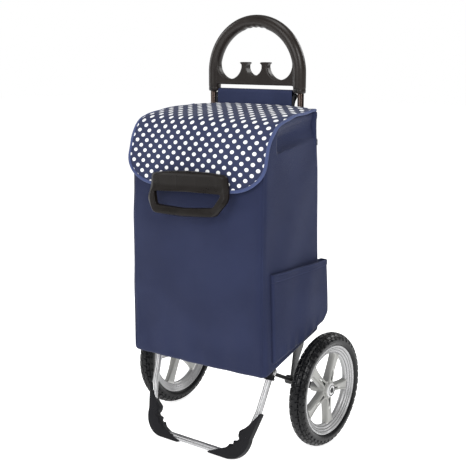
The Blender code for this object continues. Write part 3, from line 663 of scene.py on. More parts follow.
def make_wheel(side, s):
    body = f"wheel_{side}"
    tyre = tyre_rings() * (s, 1, 1) + (s * WHEEL_X, 0, 0)
    Shell().grid(tyre, True, True).make(
        f"tread_tyre_{side}", "tyre", body, "tyre_rubber", f"tyre_{side}", 28)

    def across(profile):
        return mirrored(s, profile, WHEEL_X)

    make_turned(f"rim_{side}", "rim", body, "rim_plastic", f"wheel_rim_{side}",
                across(rounded(RIM_PROFILE, 0.0006, 2)), AXLE, 144, True)
    spokes = Shell()
    for i in range(5):
        spokes.grid(spoke_rings(s, i))
        spokes.grid(web_rings(s, i))
    hub = rounded([(-0.0370, 0.0086), (-0.0370, 0.0130), (-0.0160, 0.0130), (-0.0110, 0.0190),
                   (0.0118, 0.0190), (0.0147, 0.0178), (0.0147, 0.0086)], 0.0010, 3)
    spokes.grid(turned(across(hub), AXLE, 64), True, True)
    # thin dark rings laid in the rim's steps: painted shade in the step recesses
    lines = Shell()
    for u, r, wide in ((0.0136, 0.1071, 0.0008), (0.0109, 0.1020, 0.0009),
                       (0.0075, 0.0957, 0.0008)):
        ring = np.array((u, r)) + circle(wide, 10)
        lines.grid(turned(across(ring), AXLE, 144), True, True)
    lines.make(f"rim_lines_{side}", "groove", body, "rim_plastic")
    spokes.make(f"spokes_{side}", "spoke", body, "rim_plastic", f"wheel_rim_{side}", 30)
    cap = rounded([(0.0150, 0.0070), (0.0150, 0.0172), (0.0180, 0.0174), (0.0196, 0.0160),
                   (0.0200, 0.0128), (0.0190, 0.0122), (0.0190, 0.0098), (0.0200, 0.0092),
                   (0.0200, 0.0070)], 0.0005, 3)
    make_turned(f"cap_{side}", "cap", body, "cap_plastic", f"hub_cap_{side}", across(cap), AXLE,
                64, True)
    ring = rounded([(0.0180, 0.0122), (0.0180, 0.0148), (0.0202, 0.0146), (0.0202, 0.0124)],
                   0.0004, 2)
    make_turned(f"cap_ring_{side}", "black_plastic", body, "black_plastic", None, across(ring),
                AXLE, 64, True)
    button = rounded([(0.0153, 0.0005), (0.0153, 0.0064), (0.0210, 0.0064), (0.0214, 0.0058),
                      (0.0211, 0.0040), (0.0209, 0.0005)], 0.0005, 3, False)
    make_turned(f"button_{side}", "black_plastic", f"button_{side}", "black_plastic",
                f"release_button_{side}", across(button), AXLE, 40)


# ---- lower frame

PIVOT = np.array((0.0, -0.083, 0.215))
RAIL_FRONT = np.array((0.0, -0.086, 0.2364))
RAIL_REAR = np.array((0.0, 0.074, 0.2774))
REAR_BAR = np.array((0.0, 0.076, 0.2372))
FRONT_BAR = np.array((0.0, -0.101, 0.2290))
TUBE_X, TUBE_Y = 0.1375, 0.094


def link_outline(a, b, radius, steps=16):
    """A link's outline from a to b: two round ends and straight sides."""
    bearing = math.degrees(math.atan2(b[2] - a[2], b[1] - a[1]))
    return np.vstack([arc(a[1:], radius, bearing + 90, bearing + 270, steps),
                      arc(b[1:], radius, bearing - 90, bearing + 90, steps)])


def pin(s, low, high, radius, head_radius, head_high, dome=0.0012):
    """Profile of a round-headed pin; low to high is its shank, head_high the head's top."""
    way = 1 if head_high > high else -1
    profile = [(low, 0.0004), (low, radius), (high, radius), (high, head_radius)]
    profile += [(head_high - way * dome * (1 - math.sin(a)), head_radius * math.cos(a) + 0.0002)
                for a in np.linspace(0.15, math.pi / 2, 8)]
    return mirrored(s, profile)


def make_lower_side(side, s):
    # bracket behind the wheel, with its axle boss
    bracket = Shell()
    outline = arc((TUBE_Y + 0.006, 0.250), 0.010, -30, 60, 8)
    outline = np.vstack([outline, arc(RAIL_REAR[1:], 0.0065, 30, 180, 10),
                         [(REAR_BAR[1] - 0.010, 0.256), (REAR_BAR[1] - 0.013, 0.226)],
                         arc(AXLE[1:], 0.0115, 165, 350, 24),
                         [(0.082, 0.190), (TUBE_Y + 0.013, 0.228)]])
    outline = rounded(outline, 0.004, 2)
    bracket.grid(slab(outline, s * 0.1458, s * 0.1498, ease=0.0008))
    boss = band(0.1300, 0.1460, 0.0054, 0.0115, 0.0009)
    bracket.grid(turned(mirrored(s, boss), AXLE, 48), True, True)
    bracket.make(f"bracket_{side}", "black_steel", "root", "black_steel",
                 f"axle_bracket_{side}")

    rail = slab(link_outline(RAIL_FRONT, RAIL_REAR, 0.005), s * 0.1501, s * 0.1561, ease=0.0014)
    Shell().grid(rail).make(f"rail_{side}", "aluminium", "root", "aluminium",
                            f"shelf_rail_{side}")
    cheek = np.vstack([arc(PIVOT[1:], 0.0120, 175, 360, 30),
                       arc((RAIL_FRONT[1] + 0.004, RAIL_FRONT[2]), 0.0070, 0, 110, 14),
                       arc(FRONT_BAR[1:], 0.0085, 110, 215, 14)])
    Shell().grid(slab(cheek, s * 0.1564, s * 0.1604, ease=0.0009)).make(
        f"hinge_cheek_{side}", "black_steel", "root", "black_steel", f"hinge_plate_{side}")

    length = float(np.linalg.norm(AXLE - PIVOT))
    way = (AXLE - PIVOT) / length
    path = [(0.0, 0.1627), (0.014, 0.1627), (0.020, 0.1620), (0.032, 0.1530), (0.038, 0.1521),
            (length, 0.1521)]
    path = eased(evened([PIVOT + way * along + np.array((s * x, 0, 0)) for along, x in path],
                        60), 3)
    bar = rectangle(0.0020, 0.0048, 0.0009, 3)
    strut = Shell().grid(swept(path, bar, np.cross(way, (1, 0, 0))))
    for centre, low, high, bore in ((PIVOT, 0.1607, 0.1647, 0.0038),
                                    (AXLE, 0.1501, 0.1541, 0.0053)):
        eye = band(low, high, bore, 0.0098, 0.0008)
        strut.grid(turned(mirrored(s, eye), centre, 48), True, True)
    strut.make(f"brace_{side}", "black_steel", "root", "black_steel", f"brace_strut_{side}")

    collar = [(0.1546, 0.0054), (0.1546, 0.0090), (0.1640, 0.0090), (0.1646, 0.0080),
              (0.2000, 0.0080), (0.2006, 0.0090), (0.2082, 0.0090), (0.2082, 0.0054)]
    collar = mirrored(s, rounded(collar, 0.0005, 2))
    make_turned(f"collar_{side}", "black_plastic", "root", "black_plastic", f"axle_collar_{side}",
                collar, AXLE, 48, True)
    nut = band(0.1455, 0.1498, 0.0038, 0.0065, 0.0008, 2)
    rivet = pin(s, 0.1461, 0.1501, 0.0035, 0.0062, 0.1529)
    tube_foot = np.array((0, TUBE_Y, 0.243))
    for name, node, profile, centre, segments in (
            ("axle_stub", "stub_axle", pin(s, 0.2545, 0.1297, 0.0050, 0.0090, 0.1262), AXLE, 48),
            ("pivot_pin", "foot_pivot_pin", pin(s, 0.1465, 0.1891, 0.0035, 0.0068, 0.1911),
             PIVOT, 40),
            ("pivot_nut", "foot_pivot_nut", mirrored(s, nut), PIVOT, 6),
            ("rail_rivet", "rail_bolt", rivet, REAR_BAR, 40),
            ("tube_rivet", "tube_bolt", rivet, tube_foot, 40)):
        make_turned(f"{name}_{side}", "steel", "root", "bright_steel", f"{node}_{side}", profile,
                    centre, segments, name == "pivot_nut")


def make_crossbars():
    for name, centre, reach in (("front", FRONT_BAR, 0.1561), ("rear", REAR_BAR, 0.1455)):
        profile = band(-reach, reach, 0.0002, 0.005, 0.0005, 2, False)
        make_turned(f"crossbar_{name}", "cross_aluminium", "root", "aluminium",
                    f"shelf_crossbar_{name}", profile, centre, 40)


# ---- foot loop

FOOT_LEAN = math.radians(21.0)
FOOT_BAR_D = 0.2185
FOOT_TOP_X = 0.1778
FOOT_SPLAY = 0.10
FOOT_CORNER = 0.046
LOOP_WIDTH = 0.017
LOOP_THICKNESS = 0.012


def foot_points(flat):
    """Points given as (x, d down from the hinge, w in front) in the loop's leaning plane."""
    flat = np.asarray(flat, float)
    x, d, w = flat[..., 0], flat[..., 1], flat[..., 2]
    return np.stack([x, PIVOT[1] - d * math.sin(FOOT_LEAN) - w * math.cos(FOOT_LEAN),
                     PIVOT[2] - d * math.cos(FOOT_LEAN) + w * math.sin(FOOT_LEAN)], -1)


def foot_line(last=0.0):
    """The right half of the loop's centre line as (x, d), evenly spaced."""
    lean = math.atan(FOOT_SPLAY)
    turn = math.pi / 2 + lean
    corner_x = FOOT_TOP_X - FOOT_SPLAY * (FOOT_BAR_D - 0.016)
    tangent = FOOT_CORNER * math.tan(turn / 2)
    centre = (corner_x - tangent, FOOT_BAR_D - FOOT_CORNER)
    line = [(FOOT_TOP_X, 0.012), (FOOT_TOP_X, 0.016), (FOOT_TOP_X - FOOT_SPLAY * 0.085, 0.101)]
    line += [(centre[0] + FOOT_CORNER * math.cos(a), centre[1] + FOOT_CORNER * math.sin(a))
             for a in np.linspace(-lean, -lean + turn, 25)]
    return np.array(line + [(last, FOOT_BAR_D)])


def along_loop(line, section):
    """Rings round a line in the loop's plane; section holds (outward, in front) offsets."""
    out = outward(line)
    section = np.asarray(section, float)
    if section.ndim == 2:
        section = np.repeat(section[None], len(line), 0)
    flat = line[:, None] + out[:, None] * section[..., :1]
    return foot_points(np.concatenate([flat, section[..., 1:]], -1))


def ribbed_oval():
    """The loop's drawn section: an oval tube with three shallow ribs along each flat."""
    r, flat = LOOP_THICKNESS / 2, LOOP_WIDTH / 2 - LOOP_THICKNESS / 2
    top = [(x, r - 0.00055 * (0.5 - 0.5 * math.cos(TAU * 1.5 * (x / (flat * 3.2) + 0.5))))
           for x in np.linspace(flat * 1.6, -flat * 1.6, 34)]
    right = arc((flat, 0), r, -62, 62, 12)
    left = arc((-flat, 0), r, 118, 242, 12)
    return np.vstack([right, top, left, [(-x, -z) for x, z in top]])


def make_foot():
    right = evened(foot_line(), 90)
    line = np.vstack([right, (right * (-1, 1))[::-1][1:]])
    Shell().grid(along_loop(line, ribbed_oval())).make(
        "foot_tube", "loop", "foot", "aluminium", "foot_loop", 60)
    for side, s in SIDES:
        make_shoe(side, s)
        make_knuckle(side, s)


SHOE_EDGE = np.array((  # along the shoe from its upper tip, how far its inner edge stands in
    (0.00, -0.0080), (0.05, -0.0055), (0.12, 0.0010), (0.20, 0.0075), (0.245, 0.0130),
    (0.285, 0.0205), (0.315, 0.0240), (0.335, 0.0236), (0.352, 0.0205), (0.385, 0.0180),
    (0.435, 0.0215), (0.470, 0.0265), (0.500, 0.0290), (0.525, 0.0285), (0.545, 0.0255),
    (0.585, 0.0225), (0.630, 0.0235), (0.665, 0.0255), (0.690, 0.0250), (0.715, 0.0205),
    (0.745, 0.0150), (0.800, 0.0100), (0.88, 0.0030), (0.95, -0.0040), (1.00, -0.0080)))


def make_shoe(side, s):
    line = evened(foot_line(0.050)[2:], 160)
    snug = LOOP_WIDTH / 2 + 0.0003
    sections = []
    for t in np.linspace(0, 1, len(line)):
        end = float(smooth_step(0, 0.035, min(t, 1 - t)))
        outer = snug + 0.0028
        inward = -float(np.interp(t, SHOE_EDGE[:, 0], SHOE_EDGE[:, 1]))
        web = max(-inward - snug, 0.0)
        half = LOOP_THICKNESS / 2 + 0.0015 + 0.0012 * end
        sunk = min(0.0030, web * 0.16)
        if inward < -snug - 0.004:
            ledge = min(-snug + 0.0015, inward + 0.0046)
            face = [(ledge, half), (min(-snug - 0.0008, inward + 0.0043), half - sunk),
                    (inward + 0.0042, half - sunk), (inward + 0.0028, half), (inward, half)]
        else:
            face = [(inward + k, half) for k in (0.0028, 0.0021, 0.0014, 0.0007, 0.0)]
        sections.append(rounded([(inward, -half + 0.0005), (outer, -half), (outer, half)]
                                + face, 0.0012, 3))
    points = along_loop(line, np.array(sections))
    points[..., 0] *= s
    points[..., 2] = np.maximum(points[..., 2], 0.0)
    Shell().grid(points).make(f"shoe_{side}", "shoe", "foot", "black_plastic",
                              f"foot_shoe_{side}", 40)


def make_knuckle(side, s):
    """The socket on the loop's upper end: a softened block with a lip, and the hinge's eye."""
    block = Shell()
    rings = []
    for d, grow in ((-0.0005, 0.0), (0.004, 0.0), (0.009, -0.0003), (0.0140, -0.0006),
                    (0.0148, 0.0004), (0.0190, 0.0004)):
        shift = FOOT_SPLAY * max(d - 0.016, 0.0)
        rings.append(foot_points([(s * (FOOT_TOP_X - shift + u), d, w) for u, w in
                                  rectangle(0.0108 + grow, 0.0095 + grow, 0.0035, 4)]))
    block.grid(rings)
    eye = rounded([(0.1668, 0.0040), (0.1668, 0.0108), (0.1888, 0.0108), (0.1888, 0.0100),
                   (0.1878, 0.0094), (0.1878, 0.0074), (0.1888, 0.0068), (0.1888, 0.0040)],
                  0.0005, 3)
    block.grid(turned(mirrored(s, eye), PIVOT, 56), True, True)
    block.make(f"knuckle_{side}", "shoe", "foot", "black_plastic", f"foot_knuckle_{side}", 30)


# ---- tubes and handle

HANDLE_X, HANDLE_R, HANDLE_FOOT_Z = 0.1333, 0.0162, 0.879
SPRING_Z, ARCH_TOP_Z = 0.928, 1.072 - HANDLE_R
POST_X = 0.0322
GRIP_HALF, FINGER_PITCH, FINGER_DEPTH = 0.041, 0.0205, 0.0019  # the arch's finger scallops


def crossbar_outline():
    right = [(0.126, 0.897), (0.126, 0.962), (0.1165, 0.962)]
    right += arc((0.0778, 0.9495), 0.0385, 8, -170, 40).tolist()
    for way in (1, -1):
        lip = [(0.0078, 0.9475), (0.0098, 0.9498), (0.0124, 0.9512), (0.0131, 0.9522),
               (0.0131, 0.9532), (0.0122, 0.9542), (0.0108, 0.9545)]
        right += [(POST_X + way * x, z) for x, z in lip[::way]]
    right += arc((0, 0.9450), 0.0250, -8, -90, 24).tolist()
    return right + [(-x, z) for x, z in right[:-1]][::-1]


def make_handle():
    leg = np.linspace(HANDLE_FOOT_Z, SPRING_Z - 0.002, 14)
    path = [(-HANDLE_X, z) for z in leg]
    path += arc((0, SPRING_Z), (HANDLE_X, ARCH_TOP_Z - SPRING_Z), 180, 0, 150).tolist()
    path += [(HANDLE_X, z) for z in leg[::-1]]
    path = np.array([(x, TUBE_Y, z) for x, z in path])
    a = np.linspace(0, TAU, 48, endpoint=False)
    sections = []
    for x, _, z in path:
        high = z > SPRING_Z + 0.09
        grip = high and abs(x) < GRIP_HALF
        wave = FINGER_DEPTH * abs(math.sin(math.pi * x / FINGER_PITCH)) if grip else 0.0
        end = 1 - 0.06 * math.exp(-((z - HANDLE_FOOT_Z) / 0.003) ** 2)
        groove = 0.0007 * math.exp(-((z - 0.890) / 0.0012) ** 2) if z < 0.93 else 0.0
        radius = HANDLE_R * end - groove
        across, through = radius * np.cos(a), radius * np.sin(a)
        inner = np.clip(np.cos(a), 0, 1) ** 2
        sections.append(np.stack([across - wave * inner, through], -1))
    arch = swept(path, np.array(sections), (0, -1, 0))
    handle = Shell().grid(arch)
    handle.grid(slab(crossbar_outline(), TUBE_Y - 0.010, TUBE_Y + 0.010, "y", 0.0028, 5))
    piece = handle.make("arch_handle", "handle", "root", "black_plastic", "handle")
    fused(piece, 0.0011, 9)
    for side, s in SIDES:
        tube = band(0.226, 0.9395, 0.0065, 0.0080, 0.0004, 2)
        make_turned(f"upright_{side}", "bronze", "root", "tube_metal", f"rear_tube_{side}", tube,
                    (s * TUBE_X, TUBE_Y, 0), 48, True, "z")
        head = pin(1, 0.0855, 0.0774, 0.0020, 0.0036, 0.0756, 0.0009)
        make_turned(f"screw_{side}", "black_steel", "root", "bright_steel",
                    f"handle_screw_{side}", head, (s * HANDLE_X, 0, 0.887), 32, axis="y")


# ---- bag

BAG_SLOPE, BAG_FRONT, BAG_REAR, BAG_HALF = 0.268, -0.155, 0.083, 0.204
BAG_FLOOR_H, BAG_RIM_H, BAG_WALL = 0.225, 0.797, 0.003
BAG_ROUND = 0.014  # radius of the bag's upright corners
RIM_SLOPE = BAG_SLOPE - 0.068
FRONT_PROFILE = np.array(((0.225, -0.155), (0.45, -0.155), (0.62, -0.154), (0.70, -0.153),
                          (0.75, -0.1460), (0.775, -0.1370), (0.797, -0.1215)))


def bag_z(y, h):
    """Height of a point on the bag's wall; near the rim it rises to meet the lid."""
    slope = BAG_SLOPE + (RIM_SLOPE - BAG_SLOPE) * np.clip((h - 0.62) / (BAG_RIM_H - 0.62), 0, 1)
    plain = h + slope * (y - BAG_FRONT)
    rim = BAG_RIM_H + RIM_SLOPE * (y - BAG_FRONT)
    path = np.array(LID_PATH)
    under = np.interp(-y, -path[:, 0], path[:, 1]) - 0.0040 - 0.004 * np.clip(
        (-0.07 - y) / 0.04, 0, 1)
    return plain + (under - rim) * smooth_step(BAG_RIM_H - 0.06, BAG_RIM_H, h)


def front_y(h):
    """The bag's front line at a sheared height, its corners softened."""
    around = np.asarray(h)[..., None] + np.linspace(-0.018, 0.018, 9)
    return np.interp(around, FRONT_PROFILE[:, 0], FRONT_PROFILE[:, 1]).mean(-1)


def box_outline(front, rear, half, r, wall=60, corner=9):
    """A rounded rectangle as (x, y), with its outward normals, from the rear right round."""
    corners = (((half - r, rear - r), 0), ((-half + r, rear - r), 90),
               ((-half + r, front + r), 180), ((half - r, front + r), 270))
    points, normals = [], []
    for k, (centre, start) in enumerate(corners):
        a = np.radians(np.linspace(start, start + 90, corner))
        out = np.stack([np.cos(a), np.sin(a)], -1)
        points.append(np.array(centre) + r * out)
        normals.append(out)
        following = np.array(corners[(k + 1) % 4][0]) + r * out[-1]
        t = np.linspace(0, 1, wall + 2)[1:-1, None]
        points.append(points[-1][-1] + (following - points[-1][-1]) * t)
        normals.append(np.repeat(out[-1:], wall, 0))
    return np.vstack(points), np.vstack(normals)


def flare(h):
    """How much wider the bag's foot is than its plain outline, on each side."""
    return 0.0085 * float(1 - smooth_step(BAG_FLOOR_H, 0.52, h))


def bag_swell(x, y, h, normal):
    """How far the bag's cloth stands out from its plain outline."""
    up = np.clip((h - BAG_FLOOR_H) / (BAG_RIM_H - BAG_FLOOR_H), 0, 1)
    p = np.clip((x + BAG_HALF) / (2 * BAG_HALF), 0, 1)
    q = np.clip((y - BAG_FRONT) / (BAG_REAR - BAG_FRONT), 0, 1)
    front = np.clip(-normal[:, 1], 0, 1) ** 2
    rear = np.clip(normal[:, 1], 0, 1) ** 2
    side = normal[:, 0] ** 2
    # front and sides swell below the lid, with slow waves, and the front ripples at its foot
    low = math.sin(math.pi * min(up * 1.25 + 0.02, 1)) if up < 0.8 else 0.0
    full = max(low, 0.0) ** 0.7
    pillow = 0.0045 * np.sin(math.pi * p) ** 0.8 * full
    pillow += 0.0009 * np.sin(TAU * (2.3 * p + 0.35 * math.sin(3.1 * up * TAU / 2))) * low
    pillow += 0.0007 * np.sin(TAU * (5.1 * p + 0.6 * up)) * math.exp(-((up - 0.04) / 0.16) ** 2)
    pillow += 0.0060 * float(smooth_step(0.28, 0.42, h) - smooth_step(0.56, 0.64, h))
    flank = 0.0040 * np.sin(math.pi * q) ** 0.8 * full
    flank += 0.0011 * np.sin(TAU * (1.7 * q + 0.25 + 0.4 * math.sin(5 * up))) * low
    # the top of each side is tucked in under the lid, above a slanting crease
    above = bag_z(y, h) - (0.7516 + 0.146 * (y + 0.095))
    behind = smooth_step(-0.104, -0.088, y) * (1 - 0.8 * smooth_step(-0.065, 0.070, y))
    rim = 1 - smooth_step(BAG_RIM_H - 0.040, BAG_RIM_H - 0.002, h)
    tuck = smooth_step(-0.001, 0.006, above) * (0.65 + 0.35 * smooth_step(0.0, 0.03, above))
    flank -= 0.0220 * tuck * behind * rim
    flank -= 0.0160 * smooth_step(0.62, BAG_RIM_H, h) * smooth_step(-0.09, 0.08, y)
    flank += flare(h)
    return front * pillow + side * flank + rear * 0.4 * pillow


def bag_ring(h, inset):
    """The bag's outline at a sheared height, set in by the cloth's thickness or the like."""
    front = float(front_y(h))
    points, normals = box_outline(front + inset, BAG_REAR - inset, BAG_HALF - inset,
                                  BAG_ROUND - inset * 0.5)
    out = bag_swell(points[:, 0], points[:, 1], h, normals)
    points = points + normals * out[:, None]
    z = bag_z(points[:, 1], h) - lid_droop(points[:, 0], points[:, 1]) * smooth_step(
        BAG_RIM_H - 0.10, BAG_RIM_H, h)
    share = points[:, 0] / BAG_HALF
    sag = 0.0120 - 0.0080 * (share + 1) / 2 + 0.002 * np.cos(math.pi * share / 2)
    z = z - sag * np.exp(-((h - BAG_FLOOR_H) / 0.07) ** 2) * (
        1 - smooth_step(-0.14, 0.02, points[:, 1]))
    return np.column_stack([points, z])


def make_bag():
    outer = [bag_ring(BAG_FLOOR_H + 0.010 * up, 0.010 * inset) for up, inset in quarter(7)]
    outer += [bag_ring(h, 0.0) for h in np.linspace(BAG_FLOOR_H + 0.014, BAG_RIM_H - 0.020, 120)]
    outer += [bag_ring(BAG_RIM_H - down, inset) for down, inset in
              ((0.0185, 0.0003), (0.0180, -0.0007), (0.0090, -0.0009), (0.0012, -0.0008),
               (0.0002, 0.0003), (0.0, 0.0014), (0.0006, 0.0027), (0.0090, 0.0034),
               (0.0180, 0.0033))]
    inner = [bag_ring(h, BAG_WALL) for h in np.linspace(BAG_RIM_H - 0.022, BAG_FLOOR_H + 0.008, 60)]
    inner.append(bag_ring(BAG_FLOOR_H + 0.004, BAG_WALL + 0.004))
    Shell().grid(outer + inner).make("bag", "navy", "root", "navy_fabric", "bag_body", 50)
    make_bag_seams()


def corner_line(s, heights, turn, out):
    """Points up the bag's front corner, turned from the side face, with outward normals."""
    points, normals = [], []
    for h in heights:
        outline, normal = box_outline(float(front_y(h)), BAG_REAR, BAG_HALF, BAG_ROUND)
        a = math.radians(-turn)
        k = int(np.argmax(normal @ np.array((s * math.cos(a), math.sin(a)))))
        swell = bag_swell(outline[k:k + 1, 0], outline[k:k + 1, 1], h, normal[k:k + 1])[0]
        point = outline[k] + normal[k] * (swell + out)
        points.append((point[0], point[1], float(bag_z(point[1], h))))
        normals.append((normal[k][0], normal[k][1], 0.0))
    return np.array(points), np.array(normals)


def stitched(shell, points, normals, pitch=0.0044, length=0.0030, radius=0.00034):
    """Add a row of raised stitches along a line that lies on a surface."""
    points, normals = np.asarray(points), np.asarray(normals)
    reach = distances(points)
    ring = circle(1.0, 6)
    for at in np.arange(pitch, reach[-1] - pitch, pitch):
        spots = at + length * np.array((-0.5, -0.42, -0.2, 0.2, 0.42, 0.5))
        normal = values_at(at, reach, normals)
        lift = radius * np.array((-0.6, 0.1, 0.5, 0.5, 0.1, -0.6))
        path = values_at(spots, reach, points) + normal * lift[:, None]
        size = radius * np.array((0.3, 0.8, 1.0, 1.0, 0.8, 0.3))
        shell.grid(swept(path, ring[None] * size[:, None, None], normal))


def make_stitches(name, body, slot, lines):
    """One piece with a row of stitches along each line, given as points and normals."""
    rows = Shell()
    for points, normals in lines:
        stitched(rows, points, normals)
    rows.make(name, "thread", body, slot)


def make_bag_seams():
    """A raised seam up each front corner, with a row of stitches on each side of it."""
    heights = np.linspace(BAG_FLOOR_H + 0.006, BAG_RIM_H - 0.004, 150)
    for side, s in SIDES:
        points, normals = corner_line(s, heights, 45, 0.0004)
        section = circle((0.0022, 0.0011), 14)
        seam = Shell().grid(swept(points, section, normals.mean(0)))
        seam.make(f"corner_seam_{side}", "navy", "root", "navy_fabric")
        make_stitches(f"corner_stitches_{side}", "root", "navy_fabric",
                      [corner_line(s, heights, turn, 0.0001) for turn in (0.0, 90.0)])


# ---- pockets


POCKET_FRONT, POCKET_REAR, POCKET_RIM_Z = -0.128, 0.094, 0.472
POUCH_LOW_Z, POUCH_RIM_Z = 0.44, 0.765


def pocket_ring(s, z_low, inset, swell, height):
    """One closed ring of a side pocket: its outer cloth, then its face on the bag."""
    front, rear, face = POCKET_FRONT + inset, POCKET_REAR - inset, BAG_HALF + 0.0003
    path = rounded([(face, front), (0.2115 - inset, front), (0.2235 - inset, rear),
                    (face, rear)], 0.0085, 8, False)
    path = evened(path, 96)
    out = outward(path)
    y = path[:, 1]
    q = np.clip((y - front) / (rear - front), 0, 1)
    puff = 0.0050 * np.sin(math.pi * q) ** 0.7 * math.sin(
        math.pi * min(height * 0.92 + 0.06, 1)) ** 0.6
    puff += 0.0016 * np.sin(TAU * (1.9 * q + 0.16 * math.sin(4 * height))) * np.sin(math.pi * q)
    puff += 0.0010 * np.sin(TAU * 6.5 * q) * math.exp(-((height - 0.02) / 0.14) ** 2) * np.sin(
        math.pi * q)
    ends = np.sin(math.pi * np.linspace(0, 1, len(path))) ** 0.4
    path = path + out * (puff * swell * ends)[:, None]
    path[:, 0] += flare(float(z_low(np.array(0.0))) - BAG_SLOPE * 0.155)
    back_y = np.linspace(rear, front, 26)[1:-1]
    outline = np.vstack([path, np.column_stack([np.full(24, face + inset * 0.3), back_y])])
    z = z_low(outline[:, 1])
    return np.column_stack([s * outline[:, 0], outline[:, 1], z])


def make_side_pocket(side, s):
    def base(y, lift):
        h = 0.243 + 0.008 * smooth_step(-0.02, 0.06, y) + 0.014 * smooth_step(0.070, 0.094, y)
        return h + BAG_SLOPE * (y - BAG_FRONT) + lift

    def level(share, lift=0.0):
        return lambda y: base(y, lift) + (POCKET_RIM_Z - base(y, lift)) * share

    outer = [pocket_ring(s, level(0.0, 0.012 * up), 0.010 * inset, 1 - inset, 0.0)
             for up, inset in quarter(6)]
    outer += [pocket_ring(s, level(share, 0.012 * (1 - share)), 0.0, 1.0, share)
              for share in np.linspace(0.02, 0.90, 56)]
    for share, inset in ((0.908, 0.0002), (0.912, -0.0008), (0.955, -0.0010), (0.993, -0.0008),
                         (0.999, 0.0002), (1.0, 0.0012), (0.998, 0.0024), (0.95, 0.0028)):
        outer.append(pocket_ring(s, level(share), inset, 1.0, share))
    inner = [pocket_ring(s, level(share, 0.006), 0.0030, 0.95, share)
             for share in np.linspace(0.90, 0.03, 30)]
    name = f"side_pocket_{side}"
    Shell().grid(outer + inner).make(f"pocket_{side}", "navy", "root", "navy_fabric", name, 50)
    rings = [pocket_ring(s, level(share), -0.0010, 1.0, share)[6:90] for share in (0.918, 0.984)]
    make_stitches(f"pocket_stitches_{side}", "root", "navy_fabric",
                  [(ring, np.tile((s, 0, 0), (len(ring), 1))) for ring in rings])


def pouch_ring(z, inset, swell=1.0):
    half, near, far = 0.176 - inset, 0.1030 + inset, 0.136 - inset
    up = (z - POUCH_LOW_Z) / (POUCH_RIM_Z - POUCH_LOW_Z)
    outline = rounded([(half, near), (half - 0.016, far), (-half + 0.016, far), (-half, near)],
                      0.007, 6)
    path = evened(outline, 200, True)
    x, y = path.T
    p = np.clip((x + half) / (2 * half), 0, 1)
    back = smooth_step(0.110, 0.130, y)
    puff = 0.0055 * np.sin(math.pi * p) ** 0.7 * math.sin(math.pi * min(max(up, 0), 1)) ** 0.7
    puff += 0.0012 * np.sin(TAU * (2.1 * p + 0.3 * up))
    puff += 0.0011 * np.sin(TAU * 17 * p) * math.exp(-((up - 1) / 0.12) ** 2)
    return np.column_stack([x, y + back * puff * swell, np.full(len(x), z)])


def make_rear_pocket():
    low, rim = POUCH_LOW_Z, POUCH_RIM_Z
    outer = [pouch_ring(low + 0.010 * up, 0.008 * inset) for up, inset in quarter(6)]
    outer += [pouch_ring(z, 0.0) for z in np.linspace(low + 0.014, rim - 0.016, 60)]
    outer += [pouch_ring(rim - down, inset) for down, inset in
              ((0.004, 0.0), (0.001, 0.0004), (0.0, 0.0014), (0.001, 0.0024))]
    inner = [pouch_ring(z, 0.0028, 0.9) for z in np.linspace(rim - 0.008, low + 0.006, 30)]
    Shell().grid(outer + inner).make("rear_pouch", "navy", "root", "navy_fabric",
                                     "rear_pocket", 50)
    elastic = [pouch_ring(rim + up, inset) for up, inset in
               ((-0.0150, -0.0002), (-0.0148, -0.0014), (-0.0020, -0.0014), (0.0012, -0.0004),
                (0.0016, 0.0014), (0.0010, 0.0032), (-0.0020, 0.0038), (-0.0150, 0.0036),
                (-0.0152, 0.0029))]
    Shell().grid(elastic, True, True).make("pouch_elastic", "webbing", "root", "webbing")


# ---- back panel and hangers


def ribbon(path, half, middle, thickness, columns, wave=None):
    """A strip of cloth along a (y, z) path, centred on x = middle, as a closed grid."""
    path = np.asarray(path, float)
    out = outward(path)
    reach = distances(path)
    t = there_and_back(columns)
    face = np.repeat((-0.5, 0.5), columns) * thickness
    trim = np.ones(2 * columns)
    trim[[0, columns - 1, columns, -1]] = 0.55
    rings, cloth = [], []
    for (y, z), normal, v in zip(path, out, reach):
        away = face * trim + (wave(t * half, v) if wave else 0.0)
        rings.append(np.column_stack([middle + t * half, y + normal[0] * away,
                                      z + normal[1] * away]))
        cloth.append(np.column_stack([t * half, np.full(len(t), v)]))
    return np.array(rings), np.array(cloth)


ROD = (0, 0.0945, 0.8720)
PANEL_HALF, STRAP_X = 0.1165, 0.1208


